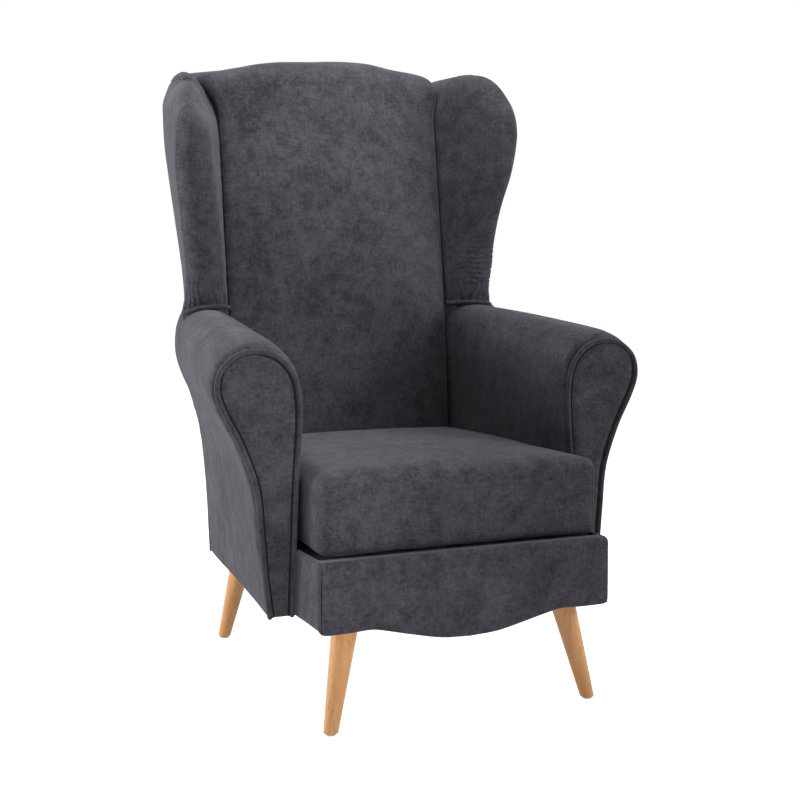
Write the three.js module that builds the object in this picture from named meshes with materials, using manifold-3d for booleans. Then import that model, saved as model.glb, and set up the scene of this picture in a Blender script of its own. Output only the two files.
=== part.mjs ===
// A fireside chair: high winged back, scroll arms, loose seat cushion, serpentine front border
// and four splayed, tapered legs. Millimetres, +Z up, the front faces -Y. The origin lies on the
// floor, in the middle of the chair. Left is the sitter's left, +X.
import * as THREE from 'three';
import { mergeVertices } from 'three/addons/utils/BufferGeometryUtils.js';
import Module from 'manifold-3d';

const wasm = await Module();
wasm.setup();

// Overall sizes
const chairDepth = 711;
const chairHeight = 1100;
const frontY = -chairDepth / 2;
const rearTopY = chairDepth / 2;

// Fits
const gap = 0.3;
const overrun = 40;
const mergeStep = 1e-3;

// Seat frame
const frameBottom = 168;
const railHeight = 86;
const railThickness = 25;
const seatHalfFront = 246;
const seatHalfRear = 222;
const railTop = frameBottom + railHeight;

// Front border: padding over the front rail, with a serpentine lower edge
const borderFrontPad = 14;
const borderSidePad = 5.7;
const borderBottom = 164;
const borderTop = 275;
const borderCorner = 9;
const borderEdge = 6;
const apronDrop = 27;
const railLip = 8;
const apronShares = [[0, 1], [0.2, 0.89], [0.4, 0.48], [0.56, 0.13], [0.66, -0.04], [0.8, 0], [1, 0]];
const borderSideShare = 0.14;
const borderCornerShare = 0.22;
const borderAcross = 40;
const borderUp = 6;
const apronSteps = 24;

// Arms
const armSetback = 114;
const armBottom = 170;
const facingTop = 592;
const armRearTop = 630;
const armSwell = 7;
const armClearFront = 3;
const armClearRear = 4;
const armWidthFront = 126;
const armWidthRear = 61.5;
const rollTaperShares = [[0, 0], [0.5, 0.43], [0.84, 0.74], [1, 1]];
const armPadding = 14;
const armTopPadding = 20;
const armTopShares = [
  [0, 0], [0.1, 0.22], [0.25, 0.42], [0.42, 0.62], [0.6, 0.78], [0.8, 0.92], [1, 1],
];
const armFrontShares = [
  [0.04, 0], [0, 0.29], [-0.04, 0.535], [-0.083, 0.697], [-0.08, 0.83], [0, 0.926],
  [0.197, 0.985], [0.464, 1], [0.73, 0.985], [0.93, 0.926], [1, 0.846], [0.93, 0.765],
  [0.73, 0.64], [0.54, 0.48], [0.475, 0.3], [0.43, 0.13], [0.375, 0],
];
const armRearShares = [
  [0, 0], [0, 0.29], [0, 0.535], [0, 0.7], [0, 0.83], [0.03, 0.926],
  [0.2, 0.985], [0.46, 1], [0.73, 0.985], [0.94, 0.92], [1, 0.835], [0.93, 0.755],
  [0.66, 0.65], [0.37, 0.52], [0.24, 0.37], [0.18, 0.15], [0.15, 0],
];
const armEdgeShares = [[0.6, 0.35], [2, 0.9]];
const armFadeShares = [0.65, 0.3];
const armStepsPerPoint = 2;
const armStations = 7;
const innerPoints = 11;

// Arm facings and piping
const facingThickness = 8;
const facingDome = 5;
const pipingRadius = 4;
const pipingProud = 1.5;
const pipingSides = 6;
const pipingSteps = 44;
const wingPipingInnerZ = 648;
const wingPipingOuterZ = 641;
const wingPipingTurnShares = [-0.9, 0.8];
const wingPipingPoints = 9;
const wingPipingSteps = 16;

// Back
const seamRise = 179.5;
const backRake = 90;
const backCrown = 21;
const backBottom = 278;
const backTopRoundFront = 62;
const backTopRoundHeight = 50;
const backEdge = 16;
const backLowCrownShare = 0.55;
const backRearRound = 12;
const backRakeShares = [
  [0, 0], [0.15, 0.08], [0.44, 0.26], [0.59, 0.44], [0.74, 0.62], [0.86, 0.79], [1, 1],
];
const backBendShare = 0.72;
const backAcross = 16;
const backUp = 18;
const shoulderDrop = 115;
const shoulderHeight = 75;
const shoulderSpread = 12;
const crestDrop = 38;
const crestShares = [[0, 0], [0.37, 0.07], [0.61, 0.24], [0.82, 0.42], [0.95, 0.66], [1, 1]];
const rearRake = 51.5;
const rearRakeShares = [[0, 0], [0.25, 0.17], [0.5, 0.38], [0.77, 0.73], [1, 1]];
const rearPanel = 10;
const rearSteps = 24;

// Wings: the front outline runs from the arm to the crown of the wing and down its rear
const wingBottom = 600;
const wingTopDrop = 18;
const wingDepth = 250;
const wingNoseShares = [
  [0, 0.558], [0.09, 0.637], [0.22, 0.717], [0.34, 0.746], [0.47, 0.814], [0.59, 0.909], [0.7, 0.98],
  [0.77, 1], [0.85, 0.969], [0.91, 0.894], [0.955, 0.807], [0.985, 0.694], [1, 0.547],
];
const wingOuterShares = [
  [0, 0], [0.07, 0.02], [0.2, 0.11], [0.42, 0.47], [0.6, 0.8], [0.72, 0.97], [1, 1],
];
const wingRearWidth = 47;
const wingRearSpread = 31;
const wingFlareShares = [
  [0, 0.33], [0.08, 0.3], [0.152, 0.22], [0.41, 0.155], [0.58, 0.15], [0.72, 0.145], [1, 0.12],
];
const wingInnerFlareShare = 0.4;
const wingOuterRound = 46;
const wingInnerRound = 36;
const wingEdgeShare = 0.06;
const wingOverlap = 5;
const wingAcross = 12;
const wingUp = 18;
const noseSteps = 60;

// Wooden frame of the back, the wings and the arms
const postThickness = 30;
const postDepth = 50;
const postTopDrop = 65;
const topRailDrop = 24;
const topRailHeight = 78;
const backRailThickness = 25;
const topRailSteps = 10;
const tieRailBottom = 305;
const tieRailHeight = 60;
const wingBoard = 18;
const wingBoardCover = 8;
const wingBoardInset = 24;
const wingBoardSteps = 12;
const postFootSteps = 4;
const armBoardThickness = 22;
const armBoardFrontWidth = 60;
const armBoardRearWidth = 46;
const stumpThickness = 25;
const blockLeg = 85;
const blockNose = 20;
const blockHeight = 45;

// Springs, webbing and decks
const springCount = 4;
const springWire = 3.8;
const springHalfWidth = 24;
const springBendSpacing = 34;
const springCrown = 6;
const springStub = 16;
const springEnd = 3;
const springSides = 4;
const springStepsPerSwing = 3;
const clipRailHeight = 6.4;
const clipRailMargin = 26;
const clipRailClear = 4;
const deckThickness = 8;
const strapCount = 2;
const strapWidth = 80;
const strapThickness = 1.6;
const strapLap = 14;
const strapLowZ = 470;
const strapHighZ = 800;
const dustCover = 1;

// Seat cushion
const cushionFrontOverhang = 22;
const cushionHeight = 128;
const cushionCrown = 17;
const cushionRound = 24;
const cushionLowRound = 8;
const cushionPlanRound = 26;
const cushionCrownShares = [[0.26, 0.45], [0.52, 0.84], [0.82, 1]];
const cushionSideDraw = 5;
const cushionWaistShare = 0.7;
const cushionSideShares = [0.2, 0.5, 0.8];
const cushionEndShares = [0.6, 0.2, -0.2, -0.6];
const cushionTurnShares = [0, 0.33, 0.66, 1];
const cushionWiderFront = 2;
const cushionWiderRear = 3;
const cushionWall = 3;
const zipLength = 380;
const zipWidth = 22;
const zipDepth = 1.2;

// Legs
const frontFootInset = 17;
const frontFootSetback = 24;
const rearFootInset = 6;
const rearFootSetback = 75;
const frontLeanX = 36.8;
const frontLeanY = 27;
const rearLeanX = 29.7;
const rearLeanY = 37.5;
const footRadius = 11.8;
const legTopRadius = 21.6;
const footChamfer = 1.5;
const glideHeight = 3;
const glideRadius = 9;
const glidePinRadius = 1.2;
const glidePinLength = 12;
const plateThickness = 2.5;
const plateSide = 62;
const plateCorner = 8;
const boltRadius = 4;
const boltInLeg = 28;
const boltInBlock = 32;
const legSides = 16;
const pinSides = 10;

// Colours
const cloth = { color: 0x47444b, roughness: 0.95, metalness: 0 };
const pipingCloth = { color: 0x38353c, roughness: 0.95, metalness: 0 };
const beech = { color: 0xd9a066, roughness: 0.5, metalness: 0 };
const framePine = { color: 0xcbb489, roughness: 0.8, metalness: 0 };
const steel = { color: 0x9a9da1, roughness: 0.4, metalness: 0.9 };
const foam = { color: 0xe6dfc4, roughness: 0.95, metalness: 0 };
const webbing = { color: 0x8d7a5c, roughness: 0.9, metalness: 0 };
const blackCloth = { color: 0x1d1d1f, roughness: 0.95, metalness: 0 };
const nylon = { color: 0xd8d8d4, roughness: 0.5, metalness: 0 };

const chair = new THREE.Group();

const mix = (from, to, share) => from + (to - from) * share;
const point = (x, y, z) => new THREE.Vector3(x, y, z);

// Returns a smooth function that passes through hand-chosen pairs of place and value
function through(pairs) {
  const slope = (index) => {
    const before = pairs[Math.max(index - 1, 0)];
    const after = pairs[Math.min(index + 1, pairs.length - 1)];
    return (after[1] - before[1]) / (after[0] - before[0]);
  };
  return (place) => {
    const held = Math.min(Math.max(place, pairs[0][0]), pairs[pairs.length - 1][0]);
    let index = 0;
    while (index < pairs.length - 2 && held > pairs[index + 1][0]) index += 1;
    const [from, low] = pairs[index];
    const [to, high] = pairs[index + 1];
    const width = to - from;
    const t = (held - from) / width;
    const rest = 1 - t;
    return low * (1 + 2 * t) * rest ** 2 + high * (3 - 2 * t) * t ** 2
      + slope(index) * width * t * rest ** 2 - slope(index + 1) * width * t ** 2 * rest;
  };
}

// Makes a closed geometry from points and triangles, with its faces turned outwards
function closed(points, triangles) {
  const raw = new THREE.BufferGeometry();
  raw.setAttribute('position', new THREE.Float32BufferAttribute(points.flatMap((p) => p.toArray()), 3));
  raw.setIndex(triangles.flat());
  const merged = mergeVertices(raw, mergeStep);
  const corner = (index) => new THREE.Vector3().fromBufferAttribute(merged.attributes.position, index);
  const kept = [];
  let volume = 0;
  for (let start = 0; start < merged.index.count; start += 3) {
    const [a, b, c] = [0, 1, 2].map((step) => merged.index.getX(start + step));
    if (a === b || b === c || c === a) continue;
    kept.push([a, b, c]);
    volume += corner(a).dot(corner(b).cross(corner(c)));
  }
  const turned = volume < 0 ? kept.map(([a, b, c]) => [a, c, b]) : kept;
  merged.setIndex(turned.flat());
  return merged;
}

// Joins rings of equal count into a solid. Each cap is filled from its ring's flat outline
function loft(rings, flatten) {
  const count = rings[0].length;
  const triangles = [];
  for (let ring = 0; ring < rings.length - 1; ring += 1) {
    for (let step = 0; step < count; step += 1) {
      const next = (step + 1) % count;
      const [a, b] = [ring * count + step, ring * count + next];
      triangles.push([a, b, b + count], [a, b + count, a + count]);
    }
  }
  const last = (rings.length - 1) * count;
  THREE.ShapeUtils.triangulateShape(rings[0].map(flatten), [])
    .forEach(([a, b, c]) => triangles.push([a, c, b]));
  THREE.ShapeUtils.triangulateShape(rings[rings.length - 1].map(flatten), [])
    .forEach(([a, b, c]) => triangles.push([last + a, last + b, last + c]));
  return closed(rings.flat(), facedAlike(rings, flatten, triangles));
}

// Turns the caps' faces the way that the walls of the loft need
function facedAlike(rings, flatten, triangles) {
  const clockwise = THREE.ShapeUtils.isClockWise(rings[0].map(flatten));
  const walls = (rings.length - 1) * rings[0].length * 2;
  return triangles.map(([a, b, c], index) => (clockwise && index >= walls ? [a, c, b] : [a, b, c]));
}

const onFloor = (p) => new THREE.Vector2(p.x, p.y);
const onFront = (p) => new THREE.Vector2(p.x, p.z);

// Extrudes an outline of number pairs from one level to another, placed by a function
function panel(outline, from, to, place, flatten) {
  return loft([from, to].map((level) => outline.map(([a, b]) => place(a, b, level))), flatten);
}
const upright = (outline, low, high) => panel(outline, low, high, (x, y, z) => point(x, y, z), onFloor);
const facingFront = (outline, near, far) => (
  panel(outline, near, far, (x, z, y) => point(x, y, z), onFront)
);

// Joins two sheets of points, given by functions of two shares, into a solid
function slab(front, back, across, up) {
  const points = [];
  const triangles = [];
  const row = across + 1;
  const sheet = row * (up + 1);
  for (const face of [front, back]) {
    for (let j = 0; j <= up; j += 1) {
      for (let i = 0; i <= across; i += 1) points.push(face(i / across, j / up));
    }
  }
  const wall = (a, b) => triangles.push([a, sheet + a, sheet + b], [a, sheet + b, b]);
  for (let j = 0; j < up; j += 1) {
    for (let i = 0; i < across; i += 1) {
      const a = j * row + i;
      const [b, c, d] = [a + 1, a + row + 1, a + row];
      const cuts = i < across / 2 ? [[a, b, c], [a, c, d]] : [[a, b, d], [b, c, d]];
      for (const [p, q, r] of cuts) {
        triangles.push([p, q, r], [sheet + p, sheet + r, sheet + q]);
      }
    }
    wall((j + 1) * row, j * row);
    wall(j * row + across, (j + 1) * row + across);
  }
  for (let i = 0; i < across; i += 1) {
    wall(i, i + 1);
    wall(up * row + i + 1, up * row + i);
  }
  return closed(points, triangles);
}

// Moves each point of a closed outline outwards
function swell(outline, by) {
  const area = outline.reduce((sum, [x, y], index) => {
    const [nextX, nextY] = outline[(index + 1) % outline.length];
    return sum + x * nextY - nextX * y;
  }, 0);
  const side = Math.sign(area);
  const unit = ([x, y]) => [x / Math.hypot(x, y), y / Math.hypot(x, y)];
  return outline.map(([x, y], index) => {
    const [beforeX, beforeY] = outline[(index + outline.length - 1) % outline.length];
    const [afterX, afterY] = outline[(index + 1) % outline.length];
    const into = unit([x - beforeX, y - beforeY]);
    const out = unit([afterX - x, afterY - y]);
    const [alongX, alongY] = unit([into[0] + out[0], into[1] + out[1]]);
    const miter = Math.max(alongX * into[0] + alongY * into[1], 0.5);
    return [x + (side * alongY * by) / miter, y - (side * alongX * by) / miter];
  });
}

// A solid for joining and cutting, and the way back
function solid(geometry) {
  return new wasm.Manifold(new wasm.Mesh({
    numProp: 3,
    vertProperties: Float32Array.from(geometry.attributes.position.array),
    triVerts: Uint32Array.from(geometry.index.array),
  }));
}
function geometryOf(body) {
  const mesh = body.getMesh();
  const geometry = new THREE.BufferGeometry();
  geometry.setAttribute('position', new THREE.Float32BufferAttribute(mesh.vertProperties, 3));
  geometry.setIndex(Array.from(mesh.triVerts));
  return geometry;
}
const cut = (geometry, tools) => geometryOf(
  tools.reduce((body, tool) => body.subtract(solid(tool)), solid(geometry)),
);
const joined = (parts) => geometryOf(
  parts.slice(1).reduce((body, part) => body.add(solid(part)), solid(parts[0])),
);
const common = (first, second) => geometryOf(solid(first).intersect(solid(second)));

// A round bar of even sides along an axis, with a radius for each place on it
function turned(foot, lean, levels, sides) {
  const rings = levels.map(([z, radius]) => Array.from({ length: sides }, (_, index) => {
    const angle = (index / sides) * Math.PI * 2;
    return point(
      foot.x + lean.x * z + radius * Math.cos(angle),
      foot.y + lean.y * z + radius * Math.sin(angle),
      z,
    );
  }));
  return loft(rings, onFloor);
}

// A round cord along a curve
function cordAlong(points, radius, sides, steps) {
  const section = new THREE.Shape(Array.from({ length: sides }, (_, index) => {
    const angle = (index / sides) * Math.PI * 2;
    return new THREE.Vector2(radius * Math.cos(angle), radius * Math.sin(angle));
  }));
  const extrudePath = new THREE.CatmullRomCurve3(points);
  const geometry = new THREE.ExtrudeGeometry(section, { steps, bevelEnabled: false, extrudePath });
  geometry.deleteAttribute('normal');
  geometry.deleteAttribute('uv');
  const merged = mergeVertices(geometry, mergeStep);
  const corners = Array.from({ length: merged.attributes.position.count }, (_, index) => (
    new THREE.Vector3().fromBufferAttribute(merged.attributes.position, index)
  ));
  const triangles = [];
  for (let start = 0; start < merged.index.count; start += 3) {
    triangles.push([0, 1, 2].map((step) => merged.index.getX(start + step)));
  }
  return closed(corners, triangles);
}

function add(name, geometry, finish) {
  const mesh = new THREE.Mesh(geometry, new THREE.MeshStandardMaterial(finish));
  mesh.name = name;
  chair.add(mesh);
}

// The mirror image of a left-hand piece
function mirror(geometry) {
  const mirrored = geometry.clone().applyMatrix4(new THREE.Matrix4().makeScale(-1, 1, 1));
  const index = Array.from(geometry.index.array);
  for (let start = 0; start < index.length; start += 3) {
    [index[start + 1], index[start + 2]] = [index[start + 2], index[start + 1]];
  }
  mirrored.setIndex(index);
  return mirrored;
}
function addPair(name, geometry, finish) {
  add(`left_${name}`, geometry, finish);
  add(`right_${name}`, mirror(geometry), finish);
}

// Lines that the whole chair follows
const facingY = frontY + armSetback;
const rearBottomY = rearTopY - rearRake;
const armRearY = rearBottomY;
const wingTop = chairHeight - wingTopDrop;
const postTop = chairHeight - postTopDrop;
const shoulderBottom = chairHeight - shoulderDrop;
const backHalf = seatHalfRear;
const armInnerFront = seatHalfFront + armClearFront;
const armInnerRear = seatHalfRear + armClearRear;
const rollOuterFront = armInnerFront + armWidthFront;
const rollOuterRear = armInnerRear + armWidthRear;
const wingRearHalf = backHalf + wingRearWidth;
const cushionHalfFront = seatHalfFront + cushionWiderFront;
const cushionHalfRear = seatHalfRear + cushionWiderRear;
const railFrontY = frontY + borderFrontPad + gap;
const sideRailFrontY = railFrontY + railThickness + gap;
const heightShare = (z) => (z - frameBottom) / (chairHeight - frameBottom);
const rearCurve = through(rearRakeShares);
const rearY = (z) => mix(rearBottomY, rearTopY, rearCurve(heightShare(z)));
const panelFrontY = (z) => rearY(z) - rearPanel - gap;
const backCurve = through(backRakeShares);
const seamY = (z) => rearTopY - seamRise
  + backRake * backCurve((z - backBottom) / (chairHeight - backBottom));
const postFrontY = (z) => panelFrontY(z) - postDepth;
const sideRailRearY = postFrontY(frameBottom) - gap;
const railOuter = (y) => mix(
  seatHalfFront,
  seatHalfRear,
  (y - sideRailFrontY) / (sideRailRearY - sideRailFrontY),
);

// The arm's outline at a place along it, as pairs of x and z
const armTopCurve = through(armTopShares);
const rollTaper = through(rollTaperShares);
function armOutline(y) {
  const share = (y - facingY) / (armRearY - facingY);
  const inner = mix(armInnerFront, armInnerRear, share);
  const width = mix(rollOuterFront, rollOuterRear, rollTaper(share)) - inner;
  const height = mix(facingTop, armRearTop, armTopCurve(share)) - armBottom;
  const places = armFrontShares.map(([x, z], index) => new THREE.Vector2(
    inner + width * mix(x, armRearShares[index][0], share),
    armBottom + height * mix(z, armRearShares[index][1], share),
  ));
  const steps = (places.length - 1) * armStepsPerPoint;
  return new THREE.SplineCurve(places).getPoints(steps).map((p) => [p.x, p.y]);
}

// The wing's planes and outline
const wingShare = (z) => (z - wingBottom) / (wingTop - wingBottom);
const noseCurve = through(wingNoseShares);
const outerCurve = through(wingOuterShares);
const flareCurve = through(wingFlareShares);
const noseY = (z) => rearY(z) - wingDepth * noseCurve(wingShare(z));
const wingOuter = (y, z) => wingRearHalf + wingRearSpread * outerCurve(wingShare(z))
  + flareCurve(wingShare(z)) * (rearY(z) - y);
const shoulder = (z) => shoulderSpread
  * THREE.MathUtils.smoothstep(z, shoulderBottom, shoulderBottom + shoulderHeight);
const wingInner = (y, z) => backHalf
  + Math.max(wingInnerFlareShare * Math.max(seamY(z) - y, 0), shoulder(z));

// The back's crest
const crestCurve = through(crestShares);
const crestZ = (x) => chairHeight - crestDrop * crestCurve(Math.min(Math.abs(x) / backHalf, 1));

// A clear quarter round: from 0 at the edge to 1 at the end of the rounding
const roundShare = (distance, radius) => {
  const inside = 1 - Math.min(Math.max(distance / radius, 0), 1);
  return Math.sqrt(1 - inside ** 2);
};

// Legs, glides, bolts and leg plates
const legTopZ = frameBottom - 2 * gap - plateThickness;
const legLine = (foot, lean, z) => ({ x: foot.x + lean.x * z, y: foot.y + lean.y * z });
const legPlaces = {
  front: {
    foot: { x: seatHalfFront - frontFootInset, y: frontY + frontFootSetback },
    lean: { x: -frontLeanX / frameBottom, y: frontLeanY / frameBottom },
  },
  rear: {
    foot: { x: seatHalfRear - rearFootInset, y: rearTopY - rearFootSetback },
    lean: { x: -rearLeanX / frameBottom, y: -rearLeanY / frameBottom },
  },
};
const boltBottomZ = legTopZ - boltInLeg;
const boltTopZ = frameBottom + boltInBlock;
const bolt = ({ foot, lean }, grow) => turned(foot, lean, [
  [boltBottomZ - grow, boltRadius + grow],
  [boltTopZ + grow, boltRadius + grow],
], pinSides);
function leg({ foot, lean }) {
  const low = glideHeight + gap;
  const body = turned(foot, lean, [
    [low, footRadius - footChamfer],
    [low + footChamfer, footRadius],
    [legTopZ - footChamfer, legTopRadius],
    [legTopZ, legTopRadius - footChamfer],
  ], legSides);
  const pinHole = turned(legLine(foot, lean, low), { x: 0, y: 0 }, [
    [low - overrun, glidePinRadius + gap],
    [glideHeight + glidePinLength + gap, glidePinRadius + gap],
  ], pinSides);
  return cut(body, [pinHole, bolt({ foot, lean }, gap)]);
}
function glide({ foot, lean }) {
  const centre = legLine(foot, lean, glideHeight + gap);
  return turned(centre, { x: 0, y: 0 }, [
    [0, glideRadius - footChamfer],
    [footChamfer, glideRadius],
    [glideHeight, glideRadius],
    [glideHeight, glidePinRadius],
    [glideHeight + glidePinLength, glidePinRadius],
  ], legSides);
}
function legPlate({ foot, lean }) {
  const { x, y } = legLine(foot, lean, frameBottom);
  const half = plateSide / 2 - plateCorner;
  const outline = [[1, 1], [-1, 1], [-1, -1], [1, -1]].flatMap(([alongX, alongY], quarter) => (
    [0, 1 / 3, 2 / 3, 1].map((share) => {
      const angle = ((quarter + share) * Math.PI) / 2;
      return [
        x + alongX * half + plateCorner * Math.cos(angle),
        y + alongY * half + plateCorner * Math.sin(angle),
      ];
    })
  ));
  const top = frameBottom - gap;
  return cut(upright(outline, top - plateThickness, top), [bolt({ foot, lean }, gap)]);
}
for (const [end, place] of Object.entries(legPlaces)) {
  addPair(`${end}_leg`, leg(place), beech);
  addPair(`${end}_glide`, glide(place), nylon);
  addPair(`${end}_leg_bolt`, bolt(place, 0), steel);
  addPair(`${end}_leg_plate`, legPlate(place), steel);
}

// Seat rails and corner blocks
const apronCurve = through(apronShares);
const borderHalf = seatHalfFront + borderSidePad + gap;
const apronZ = (x) => borderBottom - apronDrop * apronCurve(Math.min(Math.abs(x) / borderHalf, 1));
const frontRailHalf = seatHalfFront;
function frontRail() {
  const low = Array.from({ length: apronSteps + 1 }, (_, index) => {
    const x = mix(-frontRailHalf, frontRailHalf, index / apronSteps);
    return [x, apronZ(x) + railLip];
  });
  return facingFront(
    [...low, [frontRailHalf, railTop], [-frontRailHalf, railTop]],
    railFrontY,
    railFrontY + railThickness,
  );
}
function sideRail(grow) {
  const [front, rear] = [sideRailFrontY - grow, sideRailRearY + grow];
  const width = railThickness + grow;
  return upright([
    [railOuter(front) + grow, front], [railOuter(rear) + grow, rear],
    [railOuter(rear) - width, rear], [railOuter(front) - width, front],
  ], frameBottom - grow, railTop + grow);
}
const postInnerLow = seatHalfRear - postThickness;
function rearRail() {
  const far = panelFrontY(frameBottom);
  const half = postInnerLow - gap;
  return facingFront(
    [[-half, frameBottom], [half, frameBottom], [half, railTop], [-half, railTop]],
    far - railThickness,
    far,
  );
}
const railInner = (y) => railOuter(y) - railThickness - gap;
const blockTop = frameBottom + blockHeight;
function frontBlock() {
  const near = sideRailFrontY;
  const corner = railInner(near);
  const outline = [
    [corner, near], [corner - blockLeg, near], [corner - blockLeg, near + blockNose],
    [railInner(near + blockLeg) - blockNose, near + blockLeg],
    [railInner(near + blockLeg), near + blockLeg],
  ];
  return cut(upright(outline, frameBottom, blockTop), [bolt(legPlaces.front, gap)]);
}
function rearBlock() {
  const far = panelFrontY(frameBottom) - railThickness - gap;
  const notch = sideRailRearY;
  const near = far - blockLeg;
  const side = postInnerLow - gap;
  const outline = [
    [side, far], [side - blockLeg, far], [side - blockLeg, far - blockNose],
    [railInner(near) - blockNose, near], [railInner(near), near],
    [railInner(notch), notch], [side, notch],
  ];
  return cut(upright(outline, frameBottom, blockTop), [bolt(legPlaces.rear, gap)]);
}
add('front_seat_rail', frontRail(), framePine);
add('rear_seat_rail', rearRail(), framePine);
addPair('seat_rail', sideRail(0), framePine);
addPair('front_corner_block', frontBlock(), framePine);
addPair('rear_corner_block', rearBlock(), framePine);

// Back posts: beside the seat rails, then leaning outwards along the wing boards
const wingBoardInner = (y, z) => wingOuter(y, z) - wingBoardCover - wingBoard;
const boardFootZ = armRearTop - armTopPadding + gap;
const wingBoardTop = wingTop - wingBoardInset;
const boardLevels = Array.from({ length: wingBoardSteps + 1 }, (_, step) => (
  mix(boardFootZ, wingBoardTop, step / wingBoardSteps)
));
function postOuter(y, z) {
  const share = Math.min((z - frameBottom) / (boardFootZ - frameBottom), 1);
  return mix(seatHalfRear, wingBoardInner(y, Math.max(z, boardFootZ)) - 2 * gap, share);
}
function postRing(z, grow, lift) {
  const [near, far] = [postFrontY(z) - grow, panelFrontY(z) + grow];
  const [nearX, farX] = [postOuter(near, z) + grow, postOuter(far, z) + grow];
  const width = postThickness + 2 * grow;
  const height = z + lift;
  return [
    point(nearX, near, height), point(farX, far, height),
    point(farX - width, far, height), point(nearX - width, near, height),
  ];
}
const postLevels = [
  ...Array.from({ length: postFootSteps }, (_, step) => (
    mix(frameBottom, boardFootZ, step / postFootSteps)
  )),
  ...boardLevels.filter((z) => z < postTop - gap),
  postTop,
];
const backPost = (grow) => loft(postLevels.map((z, index) => {
  const lift = index === 0 ? -grow : 0;
  return postRing(z, grow, index === postLevels.length - 1 ? grow : lift);
}), onFloor);
addPair('back_post', backPost(0), framePine);

// Back rails between the posts
const postInner = (z) => (
  Math.min(postOuter(postFrontY(z), z), postOuter(panelFrontY(z), z)) - postThickness - gap
);
function backRail(outline, low, grow) {
  const far = panelFrontY(low) + grow;
  return facingFront(
    grow ? swell(outline, grow) : outline,
    far - backRailThickness - 2 * grow,
    far,
  );
}
const topRailLow = chairHeight - topRailDrop - topRailHeight;
function topRail(grow) {
  const half = Math.min(postInner(topRailLow), postInner(postTop)) - gap;
  const arch = Array.from({ length: topRailSteps + 1 }, (_, index) => {
    const x = mix(half, -half, index / topRailSteps);
    return [x, crestZ(x) - topRailDrop];
  });
  return backRail([[-half, topRailLow], [half, topRailLow], ...arch], topRailLow, grow);
}
function tieRail(grow) {
  const half = postInner(tieRailBottom);
  const [low, high] = [tieRailBottom, tieRailBottom + tieRailHeight];
  return backRail([[-half, low], [half, low], [half, high], [-half, high]], low, grow);
}
add('top_back_rail', topRail(0), framePine);
add('lower_back_rail', tieRail(0), framePine);

// Wing boards: they stand on the arm boards, against the outside of the posts
function wingBoardSolid(grow) {
  const place = (offset) => (across, up) => {
    const z = mix(boardFootZ - grow, wingBoardTop + grow, up);
    const near = noseY(Math.min(z + wingBoardInset, wingTop)) + wingBoardInset - grow;
    const far = panelFrontY(z) + grow;
    const y = mix(Math.max(near, noseY(z) + wingBoardInset - grow), far, across);
    return point(wingOuter(y, z) - offset, y, z);
  };
  const [outside, inside] = [wingBoardCover - grow, wingBoardCover + wingBoard + grow];
  return slab(place(outside), place(inside), 1, wingBoardSteps);
}
addPair('wing_board', wingBoardSolid(0), framePine);

// Arm stumps and arm boards
const stumpNearY = facingY + facingThickness + gap;
const stumpFarY = stumpNearY + stumpThickness;
function armStump(grow) {
  const outline = swell(armOutline(facingY), -armPadding);
  const above = outline.filter(([, z]) => z > railTop);
  const inner = railOuter(stumpNearY) + gap;
  const legShape = [
    [outline.at(-1)[0], frameBottom], [inner, frameBottom], [inner, railTop],
  ];
  const board = [...legShape, ...above];
  return facingFront(grow ? swell(board, grow) : board, stumpNearY - grow, stumpFarY + grow);
}
function armBoard(grow) {
  const ends = [
    { y: stumpFarY + gap - grow, width: armBoardFrontWidth },
    { y: postFrontY(boardFootZ - armBoardThickness) - 2 * gap + grow, width: armBoardRearWidth },
  ];
  return loft(ends.map(({ y, width }) => {
    const outline = armOutline(y);
    const top = Math.max(...outline.map(([, z]) => z)) - armTopPadding;
    const middle = (Math.min(...outline.filter(([, z]) => z > top - armBoardThickness).map(([x]) => x))
      + Math.max(...outline.map(([x]) => x))) / 2;
    const [low, high] = [top - armBoardThickness - grow, top + grow];
    const half = width / 2 + grow;
    return [
      point(middle - half, y, low), point(middle + half, y, low),
      point(middle + half, y, high), point(middle - half, y, high),
    ];
  }), onFront);
}
addPair('arm_stump', armStump(0), framePine);
addPair('arm_board', armBoard(0), framePine);

// Outline of an arm with the swell of its padding, which fades out towards its foot
function armRing(y, by) {
  const outline = armOutline(y);
  const height = facingTop - armBottom;
  const swelled = swell(outline, by);
  return outline.map(([x, z], index) => {
    const rise = (z - armBottom) / height;
    const kept = index < innerPoints ? (rise - armFadeShares[0]) / armFadeShares[1] : rise * 2;
    const share = Math.min(Math.max(kept, 0), 1);
    return [mix(x, swelled[index][0], share), mix(z, swelled[index][1], share)];
  });
}
const armPadFrontY = facingY + facingThickness + gap;
function armBlank(grow) {
  const even = Array.from({ length: armStations }, (_, index) => (index + 1) / armStations);
  const [setback] = armEdgeShares.at(-1);
  const places = [
    [armPadFrontY - grow, -pipingRadius],
    ...armEdgeShares.map(([back, out]) => [armPadFrontY + armSwell * back, armSwell * out]),
    ...even.map((share) => [
      mix(armPadFrontY + armSwell * setback, armRearY + overrun / 2, share),
      mix(armSwell, armSwell / 2, share),
    ]),
  ];
  return loft(places.map(([y, by]) => {
    const ring = armRing(y, by);
    return (grow ? swell(ring, grow) : ring).map(([x, z]) => point(x, y, z));
  }), onFront);
}

// Everything from a given depth of the outside back to well behind the chair
function rearZone(depth, far, half) {
  const place = (offset) => (across, up) => {
    const z = mix(armBottom - overrun, chairHeight + overrun, up);
    return point(mix(-half, half, across), rearY(z) + offset, z);
  };
  return slab(place(-depth), place(far), 2, rearSteps);
}
const wide = rollOuterFront + overrun;
const behindPads = rearZone(rearPanel + gap, overrun * 2, wide);

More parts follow.
